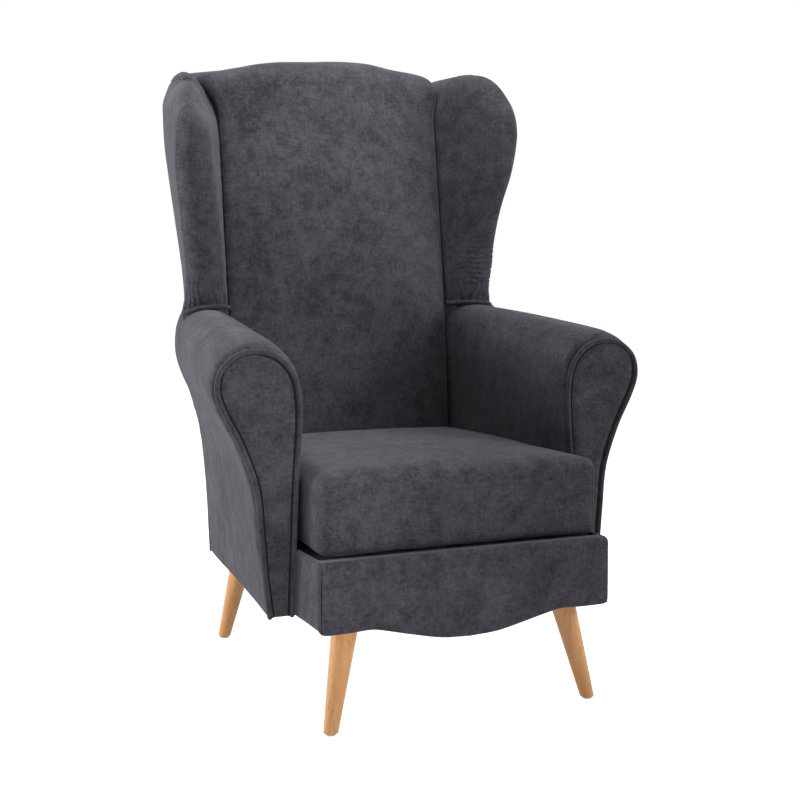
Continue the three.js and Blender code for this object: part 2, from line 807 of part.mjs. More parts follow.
// The wing: its inner and outer faces close up round its front edge and its top
const noseLine = Array.from({ length: noseSteps + 1 }, (_, index) => {
  const z = mix(wingBottom - overrun * 2, wingTop, index / noseSteps);
  return new THREE.Vector2(noseY(z), z);
});
function wingThickness(y, z, round) {
  const here = new THREE.Vector2(y, z);
  const nearest = Math.min(...noseLine.map((sample) => sample.distanceTo(here)), wingTop - z);
  return Math.max(roundShare(nearest, round), wingEdgeShare);
}
function wingBlank(inner) {
  const place = (sign, round) => (across, up) => {
    const z = mix(wingBottom, wingTop, 1 - (1 - up) ** 1.5);
    const y = mix(noseY(z), rearY(z) + wingOverlap, across ** 1.7);
    const inside = Math.max(wingInner(y, z), inner);
    const low = y < seamY(z) ? inside : inner + shoulder(z);
    const middle = (low + wingOuter(y, z)) / 2;
    const half = (wingOuter(y, z) - low) / 2;
    return point(middle + sign * half * wingThickness(y, z, round), y, z);
  };
  return slab(place(1, wingOuterRound), place(-1, wingInnerRound), wingAcross, wingUp);
}

// The inside back: crowned across, with a rounded top edge
const crownRise = (z) => (
  mix(backLowCrownShare, 1, Math.min((z - backBottom) / (wingBottom - backBottom), 1))
);
function backBlank(half) {
  const place = (rear) => (across, up) => {
    const side = Math.sin((across - 0.5) * Math.PI);
    const crest = crestZ(side * half);
    const bend = crest - backTopRoundHeight;
    if (rear) {
      const z = mix(backBottom, crest, up);
      const y = rearY(z) + wingOverlap - (up === 1 ? backRearRound : 0);
      return point(side * (half + shoulder(z)), y, z);
    }
    const turn = Math.max(up - backBendShare, 0) / (1 - backBendShare);
    const angle = (turn * Math.PI) / 2;
    const z = turn > 0
      ? bend + backTopRoundHeight * Math.sin(angle)
      : mix(backBottom, bend, up / backBendShare);
    const crown = backCrown * crownRise(z) * (1 - Math.abs(side) ** 3);
    const edge = backEdge * (1 - roundShare(half * (1 - Math.abs(side)), backEdge));
    const y = seamY(Math.min(z, bend)) - crown + edge + backTopRoundFront * (1 - Math.cos(angle));
    return point(side * (half + shoulder(z)), y, z);
  };
  return slab(place(false), place(true), backAcross, backUp);
}

// Webbing across the front of the posts
function strap(index, grow) {
  const middle = mix(strapLowZ, strapHighZ, index / (strapCount - 1));
  const place = (offset) => (across, up) => {
    const z = mix(middle - strapWidth / 2 - grow, middle + strapWidth / 2 + grow, up);
    const half = postInner(z) + strapLap + grow;
    return point(mix(-half, half, across), postFrontY(z) + offset, z);
  };
  return slab(place(-gap - strapThickness - grow), place(-gap + grow), 1, 2);
}
const backStraps = (grow) => Array.from({ length: strapCount }, (_, index) => strap(index, grow));
backStraps(0).forEach((piece, index) => add(`back_strap_${index + 1}`, piece, webbing));

// Path of the piping round the front of the wing, just above the arm
const wingPipingPath = Array.from({ length: wingPipingPoints }, (_, index) => {
  const share = index / (wingPipingPoints - 1);
  const z = mix(wingPipingInnerZ, wingPipingOuterZ, share);
  const angle = (mix(...wingPipingTurnShares, share) * Math.PI) / 2;
  const round = angle < 0 ? wingInnerRound : wingOuterRound;
  const y = noseY(z) + round * (1 - Math.cos(angle));
  const [inner, outer] = [wingInner(y, z), wingOuter(y, z)];
  const x = (inner + outer) / 2 + ((outer - inner) / 2) * Math.sin(angle);
  return point(x + pipingRadius * Math.sin(angle), y - pipingRadius * Math.cos(angle), z);
});
const wingPiping = (grow) => (
  cordAlong(wingPipingPath, pipingRadius + grow, pipingSides, wingPipingSteps)
);

// Upholstery of the arms, the wings and the back, with room for the frame inside
const bothSides = (geometry) => [geometry, mirror(geometry)];
const armPad = cut(armBlank(0), [
  behindPads, sideRail(gap), armStump(gap), armBoard(gap),
  backPost(gap), wingBoardSolid(gap), ...backStraps(gap),
]);
const wingPad = cut(wingBlank(backHalf), [
  behindPads, ...bothSides(backBlank(backHalf)), armBlank(gap), armBoard(gap), backPost(gap),
  wingBoardSolid(gap), topRail(gap), wingPiping(gap), ...backStraps(gap),
]);
const backPad = cut(backBlank(backHalf - gap), [
  behindPads, ...bothSides(armBlank(gap)), ...bothSides(backPost(gap)),
  ...bothSides(wingBoardSolid(gap)), topRail(gap), tieRail(gap), ...backStraps(gap),
]);
const lowerRear = facingFront([
  [-seatHalfRear - borderSidePad, frameBottom], [seatHalfRear + borderSidePad, frameBottom],
  [seatHalfRear + borderSidePad, strapLowZ], [-seatHalfRear - borderSidePad, strapLowZ],
], postFrontY(frameBottom), rearTopY);
const outsideBack = common(
  joined([
    backBlank(backHalf + borderSidePad), lowerRear,
    ...bothSides(armBlank(0)), ...bothSides(wingBlank(backHalf)),
  ]),
  rearZone(rearPanel, 0, wide),
);
addPair('arm_pad', armPad, cloth);
addPair('wing_pad', wingPad, cloth);
add('inside_back_pad', backPad, cloth);
add('outside_back_panel', outsideBack, cloth);

// Arm facings with their piping
const pipingInset = pipingRadius - pipingProud;
const facingInset = pipingInset + pipingRadius + 2 * gap;
function heldDown(outline) {
  const last = outline.length - 1;
  return outline.map(([x, z], index) => [x, index === 0 || index === last ? armBottom : z]);
}
const armFacing = loft([
  [facingY + facingThickness, facingInset],
  [facingY + facingThickness / 4, facingInset],
  [facingY, facingInset + facingDome],
].map(([y, inset]) => (
  heldDown(swell(armOutline(facingY), -inset)).map(([x, z]) => point(x, y, z))
)), onFront);
const facingPiping = cordAlong(
  heldDown(swell(armOutline(facingY), -pipingInset))
    .map(([x, z]) => point(x, facingY + pipingInset, z)),
  pipingRadius,
  pipingSides,
  pipingSteps,
);
addPair('arm_facing', armFacing, cloth);
addPair('arm_piping', facingPiping, pipingCloth);
addPair('wing_piping', wingPiping(0), pipingCloth);

// Front border, which turns back along both sides to the arms
const borderRearY = facingY - pipingProud - gap;
function borderPath(share, half, near, radius) {
  const [side, corner] = [borderSideShare, borderCornerShare];
  const mirrored = share > 0.5;
  const along = mirrored ? 1 - share : share;
  const sign = mirrored ? 1 : -1;
  if (along <= side) return { x: sign * half, y: mix(borderRearY, near + radius, along / side) };
  if (along <= corner) {
    const angle = ((along - side) / (corner - side)) * (Math.PI / 2);
    return {
      x: sign * (half - radius + radius * Math.cos(angle)),
      y: near + radius - radius * Math.sin(angle),
    };
  }
  return { x: sign * mix(half - radius, 0, (along - corner) / (0.5 - corner)), y: near };
}
function borderSheet(half, near, radius, edge) {
  return (across, up) => {
    const rise = 0.5 - 0.5 * Math.cos(Math.PI * up);
    const { x: reach } = borderPath(across, borderHalf, frontY, borderCorner);
    const low = apronZ(reach);
    const z = mix(low, borderTop, rise);
    const inset = edge * (1 - roundShare(Math.min(z - low, borderTop - z), borderEdge));
    const { x, y } = borderPath(across, half - inset, near + inset, radius);
    return point(x, y, z);
  };
}
const frontBorder = slab(
  borderSheet(borderHalf, frontY, borderCorner, borderEdge / 2),
  borderSheet(seatHalfFront + gap, railFrontY - gap, gap, 0),
  borderAcross,
  borderUp,
);
add('front_border', frontBorder, cloth);

// Zigzag springs and the clip rails that hold their ends
const springZ = railTop + gap + clipRailHeight / 2;
const rearRailY = panelFrontY(frameBottom) - railThickness;
const springFromY = railFrontY + springEnd;
const springToY = rearRailY + railThickness - springEnd;
const clipRailHalf = postInnerLow - clipRailClear;
const springSpacing = (2 * (clipRailHalf - clipRailMargin)) / (springCount - 1);
const springPlaces = Array.from({ length: springCount }, (_, index) => (
  (index - (springCount - 1) / 2) * springSpacing
));
function zigzagSpring(middle) {
  const from = springFromY + railThickness + springStub;
  const to = springToY - railThickness - springStub;
  const swings = Math.round((to - from) / springBendSpacing);
  const length = springToY - springFromY;
  const crownZ = (y) => springZ + springCrown * Math.sin((Math.PI * (y - springFromY)) / length);
  const bends = Array.from({ length: swings + 1 }, (_, index) => {
    const y = mix(from, to, index / swings);
    const side = index === 0 || index === swings ? 0 : (-1) ** index;
    return point(middle + springHalfWidth * side, y, crownZ(y));
  });
  const straight = (y) => point(middle, y, springZ);
  return cordAlong([
    straight(springFromY), straight(springFromY + railThickness), ...bends,
    straight(springToY - railThickness), straight(springToY),
  ], springWire / 2, springSides, (swings + 4) * springStepsPerSwing);
}
function clipRail(near) {
  const half = clipRailHalf;
  const [low, high] = [railTop + gap, railTop + gap + clipRailHeight];
  const far = near + railThickness;
  const bar = facingFront([[-half, low], [half, low], [half, high], [-half, high]], near, far);
  return cut(bar, springPlaces.map((middle) => cordAlong(
    [point(middle, near - overrun, springZ), point(middle, far + overrun, springZ)],
    springWire / 2 + gap,
    2 * springSides,
    1,
  )));
}
springPlaces.forEach((middle, index) => add(`seat_spring_${index + 1}`, zigzagSpring(middle), steel));
add('front_clip_rail', clipRail(railFrontY), steel);
add('rear_clip_rail', clipRail(rearRailY), steel);

// Seat deck and dust cover
const deckLow = springZ + springCrown + springWire / 2 + gap;
const deckTop = deckLow + deckThickness;
const deckRearY = postFrontY(deckTop) - gap;
const deckHalf = (y) => railOuter(y) - borderEdge;
add('seat_deck', upright([
  [deckHalf(railFrontY), railFrontY], [deckHalf(deckRearY), deckRearY],
  [-deckHalf(deckRearY), deckRearY], [-deckHalf(railFrontY), railFrontY],
], deckLow, deckTop), blackCloth);
function dustSheet() {
  const near = sideRailFrontY;
  const far = panelFrontY(frameBottom) - borderEdge;
  const top = frameBottom - gap;
  const sheet = upright([
    [deckHalf(near), near], [deckHalf(far), far], [-deckHalf(far), far], [-deckHalf(near), near],
  ], top - dustCover, top);
  const windows = Object.values(legPlaces).flatMap(({ foot, lean }) => {
    const { x, y } = legLine(foot, lean, frameBottom);
    const half = plateSide / 2 + gap;
    return [x, -x].map((middle) => upright([
      [middle - half, y - half], [middle + half, y - half],
      [middle + half, y + half], [middle - half, y + half],
    ], top - overrun, top + overrun));
  });
  return cut(sheet, windows);
}
add('dust_cover', dustSheet(), blackCloth);

// Seat cushion: a zipped cover over a foam core
const cushionLow = deckTop + gap;
const cushionFrontY = frontY + cushionFrontOverhang;
const cushionRearY = seamY(backBottom) - backCrown * backLowCrownShare - gap;
const cushionCrownReach = Math.min(cushionHalfRear, (cushionRearY - cushionFrontY) / 2);
const cushionHalf = (y, inset) => {
  const share = (y - cushionFrontY) / (cushionRearY - cushionFrontY);
  const waist = cushionHalfFront
    - cushionSideDraw * Math.sin(Math.PI * Math.min(share / cushionWaistShare, 1));
  return mix(waist, cushionHalfRear, share ** 1.3) - inset;
};
function cushionRing(inset, z) {
  const [near, far] = [cushionFrontY + inset, cushionRearY - inset];
  const radius = Math.max(cushionPlanRound - inset / 2, cushionPlanRound / 3);
  const corner = (sign, rear, angle) => {
    const reach = radius * (1 - Math.sin(angle));
    const y = rear ? far - reach : near + reach;
    return [sign * (cushionHalf(y, inset) - radius + radius * Math.cos(angle)), y];
  };
  const arc = [0, 1, 2, 3].map((step) => (step / 3) * (Math.PI / 2));
  const side = (sign) => cushionSideShares.map((share) => {
    const y = mix(near + radius, far - radius, share);
    return [sign * cushionHalf(y, inset), y];
  });
  const flat = (y, sign) => cushionEndShares.map((share) => (
    [sign * share * (cushionHalf(y, inset) - radius), y]
  ));
  const outline = [
    ...side(1), ...arc.map((angle) => corner(1, true, angle)), ...flat(far, 1),
    ...arc.toReversed().map((angle) => corner(-1, true, angle)), ...side(-1).toReversed(),
    ...arc.map((angle) => corner(-1, false, angle)), ...flat(near, -1),
    ...arc.toReversed().map((angle) => corner(1, false, angle)),
  ];
  return outline.map(([x, y]) => point(x, y, z));
}
function cushionSolid(shrink) {
  const low = cushionLow + shrink;
  const high = cushionLow + cushionHeight - shrink;
  const turn = cushionTurnShares.map((share) => (share * Math.PI) / 2);
  const rings = [
    ...turn.toReversed().map((angle) => [
      cushionLowRound * (1 - Math.cos(angle)), low + cushionLowRound * (1 - Math.sin(angle)),
    ]),
    [cushionSideDraw, (low + high) / 2],
    ...turn.map((angle) => [
      cushionRound * (1 - Math.cos(angle)), high - cushionRound * (1 - Math.sin(angle)),
    ]),
    ...cushionCrownShares.map(([share, rise]) => [
      share * cushionCrownReach, high + cushionCrown * rise,
    ]),
  ];
  return loft(rings.map(([inset, z]) => cushionRing(inset + shrink, z)), onFloor);
}
const zipZ = cushionLow + cushionHeight / 2;
function zipBox(grow, near, far) {
  const half = zipLength / 2 + grow;
  const [low, high] = [zipZ - zipWidth / 2 - grow, zipZ + zipWidth / 2 + grow];
  return facingFront([[-half, low], [half, low], [half, high], [-half, high]], near, far);
}
const zipFarY = cushionRearY - cushionSideDraw - gap;
const coverInnerY = cushionRearY - cushionSideDraw - cushionWall;
add('seat_cushion_cover', cut(cushionSolid(0), [
  cushionSolid(cushionWall),
  zipBox(gap, coverInnerY - cushionWall, cushionRearY + overrun),
]), cloth);
add('seat_cushion_core', cushionSolid(cushionWall + gap), foam);
add('seat_cushion_zip', zipBox(0, zipFarY - zipDepth, zipFarY), blackCloth);

export default chair;
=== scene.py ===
"""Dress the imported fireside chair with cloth, timber, seams and light.

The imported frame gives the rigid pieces. This script makes the upholstery, the
turned legs, the piping and the stitching, and sets the finishes, the camera,
the floor and the lamps. All lengths are in metres.
"""

from __future__ import annotations

import logging
import math
from dataclasses import dataclass
from enum import Enum
from typing import Callable, Iterable, Sequence

import bmesh
import bpy
from mathutils import Matrix, Vector, noise
from mathutils.bvhtree import BVHTree
from mathutils.kdtree import KDTree

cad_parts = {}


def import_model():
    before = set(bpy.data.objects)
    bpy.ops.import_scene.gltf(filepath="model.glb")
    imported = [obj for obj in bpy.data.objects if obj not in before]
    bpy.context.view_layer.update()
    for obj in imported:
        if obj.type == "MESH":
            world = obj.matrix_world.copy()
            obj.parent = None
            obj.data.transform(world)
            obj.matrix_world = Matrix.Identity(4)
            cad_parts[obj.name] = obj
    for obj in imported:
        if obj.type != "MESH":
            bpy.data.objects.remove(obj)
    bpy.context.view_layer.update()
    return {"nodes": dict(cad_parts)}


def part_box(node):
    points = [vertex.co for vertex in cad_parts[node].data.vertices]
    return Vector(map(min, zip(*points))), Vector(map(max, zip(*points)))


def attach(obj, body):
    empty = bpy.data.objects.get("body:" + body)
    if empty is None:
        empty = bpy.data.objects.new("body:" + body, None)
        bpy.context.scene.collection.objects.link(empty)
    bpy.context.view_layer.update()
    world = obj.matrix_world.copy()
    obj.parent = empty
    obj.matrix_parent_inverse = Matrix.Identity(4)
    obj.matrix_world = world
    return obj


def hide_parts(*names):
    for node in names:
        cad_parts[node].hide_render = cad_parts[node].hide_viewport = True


LOG = logging.getLogger("fireside_chair")
FITTED = 0.0003
WELD = 1e-5
# Sides round each near-black tube that paints the shadow in a seam's crease.
SEAM_SHADE_SIDES = 8

Pair = tuple[float, float]
Place = tuple[float, float, float]
Tone = tuple[float, float, float]
Ring = Callable[[float], list[Vector]]


class Side(Enum):
    """The sitter's left and right, as the sign of x."""

    LEFT = 1
    RIGHT = -1

    @property
    def label(self) -> str:
        """Return the word that starts the names of the side's pieces."""
        return self.name.lower()

    def place(self, point: Vector) -> Vector:
        """Return a left-hand point on this side."""
        return Vector((point.x * self.value, point.y, point.z))


def mix(start: float, end: float, share: float) -> float:
    """Return the value at a share of the way from start to end."""
    return start + (end - start) * share


def held(value: float, low: float = 0.0, high: float = 1.0) -> float:
    """Return the value, kept between low and high."""
    return min(max(value, low), high)


def eased(value: float) -> float:
    """Return a share that starts and ends gently."""
    share = held(value)
    return share * share * (3 - 2 * share)


def past(value: float, start: float, width: float) -> float:
    """Return how far a value is past a start, eased, as a share of a width."""
    return eased((value - start) / width)


def quarter_round(distance: float, radius: float) -> float:
    """Return the rise of a rounded edge, from 0 at the edge to 1 inside."""
    inside = 1 - held(distance / radius)
    return math.sqrt(1 - inside * inside)


@dataclass(frozen=True)
class Curve:
    """A smooth line through given pairs of place and value."""

    pairs: tuple[Pair, ...]

    def __call__(self, place: float) -> float:
        """Return the value at a place, held at the two ends.

        Args:
            place: Where along the line.

        Returns:
            The line's value there.
        """
        pairs = self.pairs
        spot = held(place, pairs[0][0], pairs[-1][0])
        index = 0
        while index < len(pairs) - 2 and spot > pairs[index + 1][0]:
            index += 1
        (start, low), (end, high) = pairs[index], pairs[index + 1]
        width = end - start
        share = (spot - start) / width
        rest = 1 - share
        return (
            low * (1 + 2 * share) * rest**2
            + high * (3 - 2 * share) * share**2
            + self._slope(index) * width * share * rest**2
            - self._slope(index + 1) * width * share**2 * rest
        )

    def _slope(self, index: int) -> float:
        """Return the line's slope at one of its pairs."""
        before = self.pairs[max(index - 1, 0)]
        after = self.pairs[min(index + 1, len(self.pairs) - 1)]
        return (after[1] - before[1]) / (after[0] - before[0])


def along_points(points: Sequence[Pair], share: float) -> Pair:
    """Return the place at a share of an even spline through points.

    Args:
        points: What the spline passes.
        share: How far along it.

    Returns:
        The place.
    """
    last = len(points) - 1
    place = held(share) * last
    index = min(int(place), last - 1)
    t = place - index
    p0, p1 = points[max(index - 1, 0)], points[index]
    p2, p3 = points[min(index + 1, last)], points[min(index + 2, last)]

    def blend(a: float, b: float, c: float, d: float) -> float:
        """Return one coordinate of the spline."""
        into, out = (c - a) / 2, (d - b) / 2
        cubic = (2 * b - 2 * c + into + out) * t**3
        return cubic + (3 * c - 3 * b - 2 * into - out) * t**2 + into * t + b

    return blend(p0[0], p1[0], p2[0], p3[0]), blend(p0[1], p1[1], p2[1], p3[1])


def swell(outline: Sequence[Pair], amounts: Sequence[float]) -> list[Pair]:
    """Move each point of a closed outline outwards.

    Args:
        outline: The closed outline, without a repeated end.
        amounts: How far each point moves.

    Returns:
        The moved outline.
    """
    count = len(outline)
    area = sum(
        x * outline[(index + 1) % count][1] - outline[(index + 1) % count][0] * y
        for index, (x, y) in enumerate(outline)
    )
    turn = math.copysign(1.0, area)
    moved = []
    for index, (x, y) in enumerate(outline):
        before, after = Vector(outline[index - 1]), Vector(outline[(index + 1) % count])
        here = Vector((x, y))
        into = (here - before).normalized()
        out = (after - here).normalized()
        along = (into + out).normalized()
        reach = amounts[index] / max(along.dot(into), 0.5)
        moved.append((x + turn * along.y * reach, y - turn * along.x * reach))
    return moved


def groove(place: float) -> float:
    """Return 1 in the narrow folds of evenly gathered cloth and 0 between them."""
    return (1 - min(abs(math.sin(math.pi * place)) * 1.5, 1)) ** 2


def unevenness(place: Vector, size: float, seed: float) -> float:
    """Return a soft random value from about -1 to 1 for patches of a size."""
    return noise.noise(place / size + Vector((seed, seed * 1.7, -seed)))


@dataclass(frozen=True)
class Ripple:
    """Soft, random waves in a cloth."""

    depth: float
    size: float
    seed: float = 0.0

    def at(self, place: Vector, shift: float = 0.0) -> float:
        """Return the waves' height at a place, for the seed and a shift of it."""
        return self.depth * unevenness(place, self.size, self.seed + shift)


# Lines that the whole chair follows


@dataclass(frozen=True)
class ChairLines:
    """The planes and outlines that the upholstery shares with the solids."""

    height: float = 1.100
    front_y: float = -0.3555
    rear_top_y: float = 0.3555
    rear_bottom_y: float = 0.304
    frame_bottom: float = 0.168
    facing_y: float = -0.2415
    arm_bottom: float = 0.170
    facing_top: float = 0.592
    arm_rear_top: float = 0.636
    arm_inner: Pair = (0.249, 0.226)
    roll_outer: Pair = (0.375, 0.2875)
    inner_share: float = 0.62
    inner_fade: float = 0.25
    inner_delay: float = 1.7
    back_seam_y: float = 0.176
    back_rake: float = 0.090
    back_bottom: float = 0.278
    back_half: float = 0.222
    crest_drop: float = 0.038
    wing_bottom: float = 0.600
    wing_top: float = 1.082
    wing_reach: float = 0.250
    wing_rear_half: float = 0.269
    wing_rear_spread: float = 0.031
    wing_inner_flare: float = 0.44
    shoulder_bottom: float = 0.985
    shoulder_height: float = 0.075
    shoulder_spread: float = 0.012
    right_shoulder_lift: float = 0.010
    right_shoulder_spread: float = 0.030
    sag_start: float = 0.196
    sag_edge: float = 0.025
    sag_bottom: float = 0.94
    sag_height: float = 0.12
    sag_rear_y: float = 0.335
    sag_reach: float = 0.13
    sag_rear: float = 0.006
    sag_front: float = 0.030
    sag_push: float = 0.022
    panel_depth: float = 0.010
    rear_curve: Curve = Curve(((0, 0), (0.25, 0.17), (0.5, 0.38), (0.77, 0.73), (1, 1)))
    rake_curve: Curve = Curve(
        ((0, 0), (0.15, 0.08), (0.44, 0.26), (0.59, 0.44), (0.74, 0.62), (0.86, 0.79), (1, 1))
    )
    crest_curve: Curve = Curve(
        ((0, 0), (0.37, 0.07), (0.61, 0.24), (0.82, 0.42), (0.95, 0.66), (1, 1))
    )
    arm_top_curve: Curve = Curve(
        ((0, 0), (0.1, 0.22), (0.25, 0.42), (0.42, 0.62), (0.6, 0.78), (0.8, 0.92), (1, 1))
    )
    nose_curve: Curve = Curve(
        (
            (0, 0.558), (0.09, 0.637), (0.22, 0.717), (0.34, 0.746), (0.47, 0.814), (0.59, 0.909),
            (0.7, 0.98), (0.77, 1), (0.85, 0.969), (0.91, 0.894), (0.955, 0.807), (0.985, 0.694),
            (1, 0.547),
        )
    )
    outer_curve: Curve = Curve(
        ((0, 0), (0.07, 0.02), (0.2, 0.11), (0.42, 0.47), (0.6, 0.8), (0.72, 0.97), (1, 1))
    )
    flare_curve: Curve = Curve(
        (
            (0, 0.33), (0.08, 0.3), (0.152, 0.24), (0.41, 0.2), (0.58, 0.19), (0.72, 0.155),
            (1, 0.12),
        )
    )
    crest_lift: Curve = Curve(
        (
            (-0.235, -0.008), (-0.2, -0.006), (-0.18, -0.006), (-0.15, -0.004), (-0.12, -0.001),
            (-0.02, 0.002), (0.03, 0.006), (0.08, 0.007), (0.14, 0.004), (0.2, 0.007),
            (0.235, 0.010),
        )
    )
    roll_taper: Curve = Curve(((0, 0), (0.5, 0.43), (0.84, 0.74), (1, 1)))
    arm_front: tuple[Pair, ...] = (
        (0.04, 0), (0, 0.29), (-0.04, 0.535), (-0.083, 0.697), (-0.08, 0.825), (0, 0.912),
        (0.197, 0.976), (0.464, 1), (0.73, 0.987), (0.955, 0.93), (1.012, 0.85), (0.92, 0.765),
        (0.71, 0.64), (0.53, 0.48), (0.475, 0.3), (0.43, 0.13), (0.375, 0),
    )
    arm_rear: tuple[Pair, ...] = (
        (0, 0), (0, 0.29), (0, 0.535), (0, 0.7), (-0.02, 0.9), (-0.02, 0.975),
        (0.08, 1.0), (0.46, 1.005), (0.76, 0.985), (0.98, 0.92), (1.01, 0.835), (0.88, 0.755),
        (0.6, 0.65), (0.35, 0.52), (0.24, 0.37), (0.18, 0.15), (0.15, 0),
    )

    def rear_y(self, z: float) -> float:
        """Return the outside back's depth at a height."""
        share = (z - self.frame_bottom) / (self.height - self.frame_bottom)
        return mix(self.rear_bottom_y, self.rear_top_y, self.rear_curve(share))

    def seam_y(self, z: float) -> float:
        """Return the depth of the seam between the back and the wings."""
        share = (z - self.back_bottom) / (self.height - self.back_bottom)
        return self.back_seam_y + self.back_rake * self.rake_curve(share)

    def crest_z(self, x: float) -> float:
        """Return the height of the back's crest at a distance from the middle."""
        drop = self.crest_drop * self.crest_curve(min(abs(x) / self.back_half, 1))
        return self.height - drop + self.crest_lift(x)

    def arm_point(self, y: float, share: float) -> Pair:
        """Return a point of the arm's outline, from its inner to its outer foot.

        Args:
            y: The depth.
            share: How far round the outline.

        Returns:
            The point's x and z.
        """
        depth = (y - self.facing_y) / (self.rear_bottom_y - self.facing_y)
        inner = mix(*self.arm_inner, depth)
        width = mix(*self.roll_outer, self.roll_taper(depth)) - inner
        top = mix(self.facing_top, self.arm_rear_top, self.arm_top_curve(depth))
        front, rear = along_points(self.arm_front, share), along_points(self.arm_rear, share)
        late = max(depth, 0) ** self.inner_delay
        change = mix(depth, late, eased((self.inner_share - share) / self.inner_fade))
        return (
            inner + width * mix(front[0], rear[0], change),
            self.arm_bottom + (top - self.arm_bottom) * mix(front[1], rear[1], change),
        )

    def wing_share(self, z: float) -> float:
        """Return how far up the wing a height lies."""
        return (z - self.wing_bottom) / (self.wing_top - self.wing_bottom)

    def nose_y(self, z: float) -> float:
        """Return the depth of the wing's front edge at a height."""
        return self.rear_y(z) - self.wing_reach * self.nose_curve(self.wing_share(z))

    def wing_outer(self, y: float, z: float) -> float:
        """Return the x of the wing's outer face."""
        share = self.wing_share(z)
        spread = self.wing_rear_spread * self.outer_curve(share)
        return self.wing_rear_half + spread + self.flare_curve(share) * (self.rear_y(z) - y)

    def shoulder(self, side: Side, z: float) -> float:
        """Return how much wider than at the seat the back is on one side at a height."""
        above = z - self.shoulder_bottom
        if side is Side.RIGHT:
            rise = (above - self.right_shoulder_lift) / self.shoulder_height
            return self.right_shoulder_spread * eased(rise)
        return self.shoulder_spread * eased(above / self.shoulder_height)

    def wing_inner(self, side: Side, y: float, z: float) -> float:
        """Return the x of the wing's inner face, as on the left."""
        flared = self.wing_inner_flare * max(self.seam_y(z) - y, 0)
        if side is Side.RIGHT:
            return self.back_half + flared
        return self.back_half + max(flared, self.shoulder(side, z))

    def sagged(self, point: Vector, start: float) -> Vector:
        """Let a point of the right-hand wing's top down, more so towards its front.

        Args:
            point: The point.
            start: How far out from the middle the sag starts.

        Returns:
            The lowered point.
        """
        out = -point.x
        rise = eased((point.z - self.sag_bottom) / self.sag_height)
        forward = eased((self.sag_rear_y - point.y) / self.sag_reach)
        share = rise * eased((out - start) / self.sag_edge)
        sag = (self.sag_rear + self.sag_front * forward) * share
        return Vector((point.x, point.y + self.sag_push * forward * share, point.z - sag))


LINES = ChairLines()


# Mesh work


def drum(around: int, along: int) -> bmesh.types.BMesh:
    """Return a capped cylinder of unit height with even rings."""
    bm = bmesh.new()
    bmesh.ops.create_cone(
        bm, cap_ends=True, cap_tris=False, segments=around, radius1=1, radius2=1, depth=1
    )
    uprights = [e for e in bm.edges if abs(e.verts[0].co.z - e.verts[1].co.z) > 0.5]
    bmesh.ops.subdivide_edges(bm, edges=uprights, cuts=along - 1, use_grid_fill=True)
    return bm


def lofted(ring: Ring, around: int, along: int) -> bmesh.types.BMesh:
    """Bend a drum so that each of its rings lies on a given one.

    Args:
        ring: Gives the points of the ring at a share of the way along.
        around: Number of points on each ring.
        along: Number of steps from the first ring to the last.

    Returns:
        The closed mesh, with its faces outwards.
    """
    bm = drum(around, along)
    rings = [ring(index / along) for index in range(along + 1)]
    turn = 2 * math.pi / around
    for vert in bm.verts:
        spot = round(math.atan2(vert.co.x, vert.co.y) / turn) % around
        vert.co = rings[round((vert.co.z + 0.5) * along)][spot]
    return closed_up(bm)


def lattice(cuts: tuple[int, int, int]) -> bmesh.types.BMesh:
    """Return a cube from -1 to 1, cut evenly along each of its axes."""
    bm = bmesh.new()
    bmesh.ops.create_cube(bm, size=2)
    for axis, count in enumerate(cuts):
        across = [
            e for e in bm.edges if abs(e.verts[0].co[axis] - e.verts[1].co[axis]) > 1e-6
        ]
        bmesh.ops.subdivide_edges(bm, edges=across, cuts=count - 1, use_grid_fill=True)
    return bm


def shaped(cuts: tuple[int, int, int], place: Callable[[Vector], Vector]) -> bmesh.types.BMesh:
    """Bend a lattice by a function of its own three shares."""
    bm = lattice(cuts)
    for vert in bm.verts:
        vert.co = place(vert.co.copy())
    return closed_up(bm)


def tube(path: Sequence[Vector], radius: float, sides: int = 12) -> bmesh.types.BMesh:
    """Return a round cord with blunt, rounded ends along a path.

    Args:
        path: The points that the cord follows.
        radius: The cord's radius.
        sides: Number of points round it.

    Returns:
        The closed mesh.
    """
    last = len(path) - 1
    tangents = [
        (path[min(i + 1, last)] - path[max(i - 1, 0)]).normalized() for i in range(last + 1)
    ]
    normal = tangents[0].orthogonal().normalized()
    stations: list[tuple[Vector, Vector, Vector, float]] = []
    for point, tangent in zip(path, tangents):
        normal = (normal - tangent * normal.dot(tangent)).normalized()
        stations.append((point, normal.copy(), tangent.cross(normal), radius))
    caps = (0.25, 0.7)
    first = [
        (path[0] - tangents[0] * radius * (1 - c), *stations[0][1:3], radius * math.sqrt(c))
        for c in caps
    ]
    final = [
        (path[-1] + tangents[-1] * radius * (1 - c), *stations[-1][1:3], radius * math.sqrt(c))
        for c in reversed(caps)
    ]
    stations = [*first, *stations, *final]

    def ring(share: float) -> list[Vector]:
        """Return the circle at one station."""
        centre, one, other, size = stations[round(share * (len(stations) - 1))]
        angles = [2 * math.pi * index / sides for index in range(sides)]
        return [centre + (one * math.cos(a) + other * math.sin(a)) * size for a in angles]

    return lofted(ring, sides, len(stations) - 1)


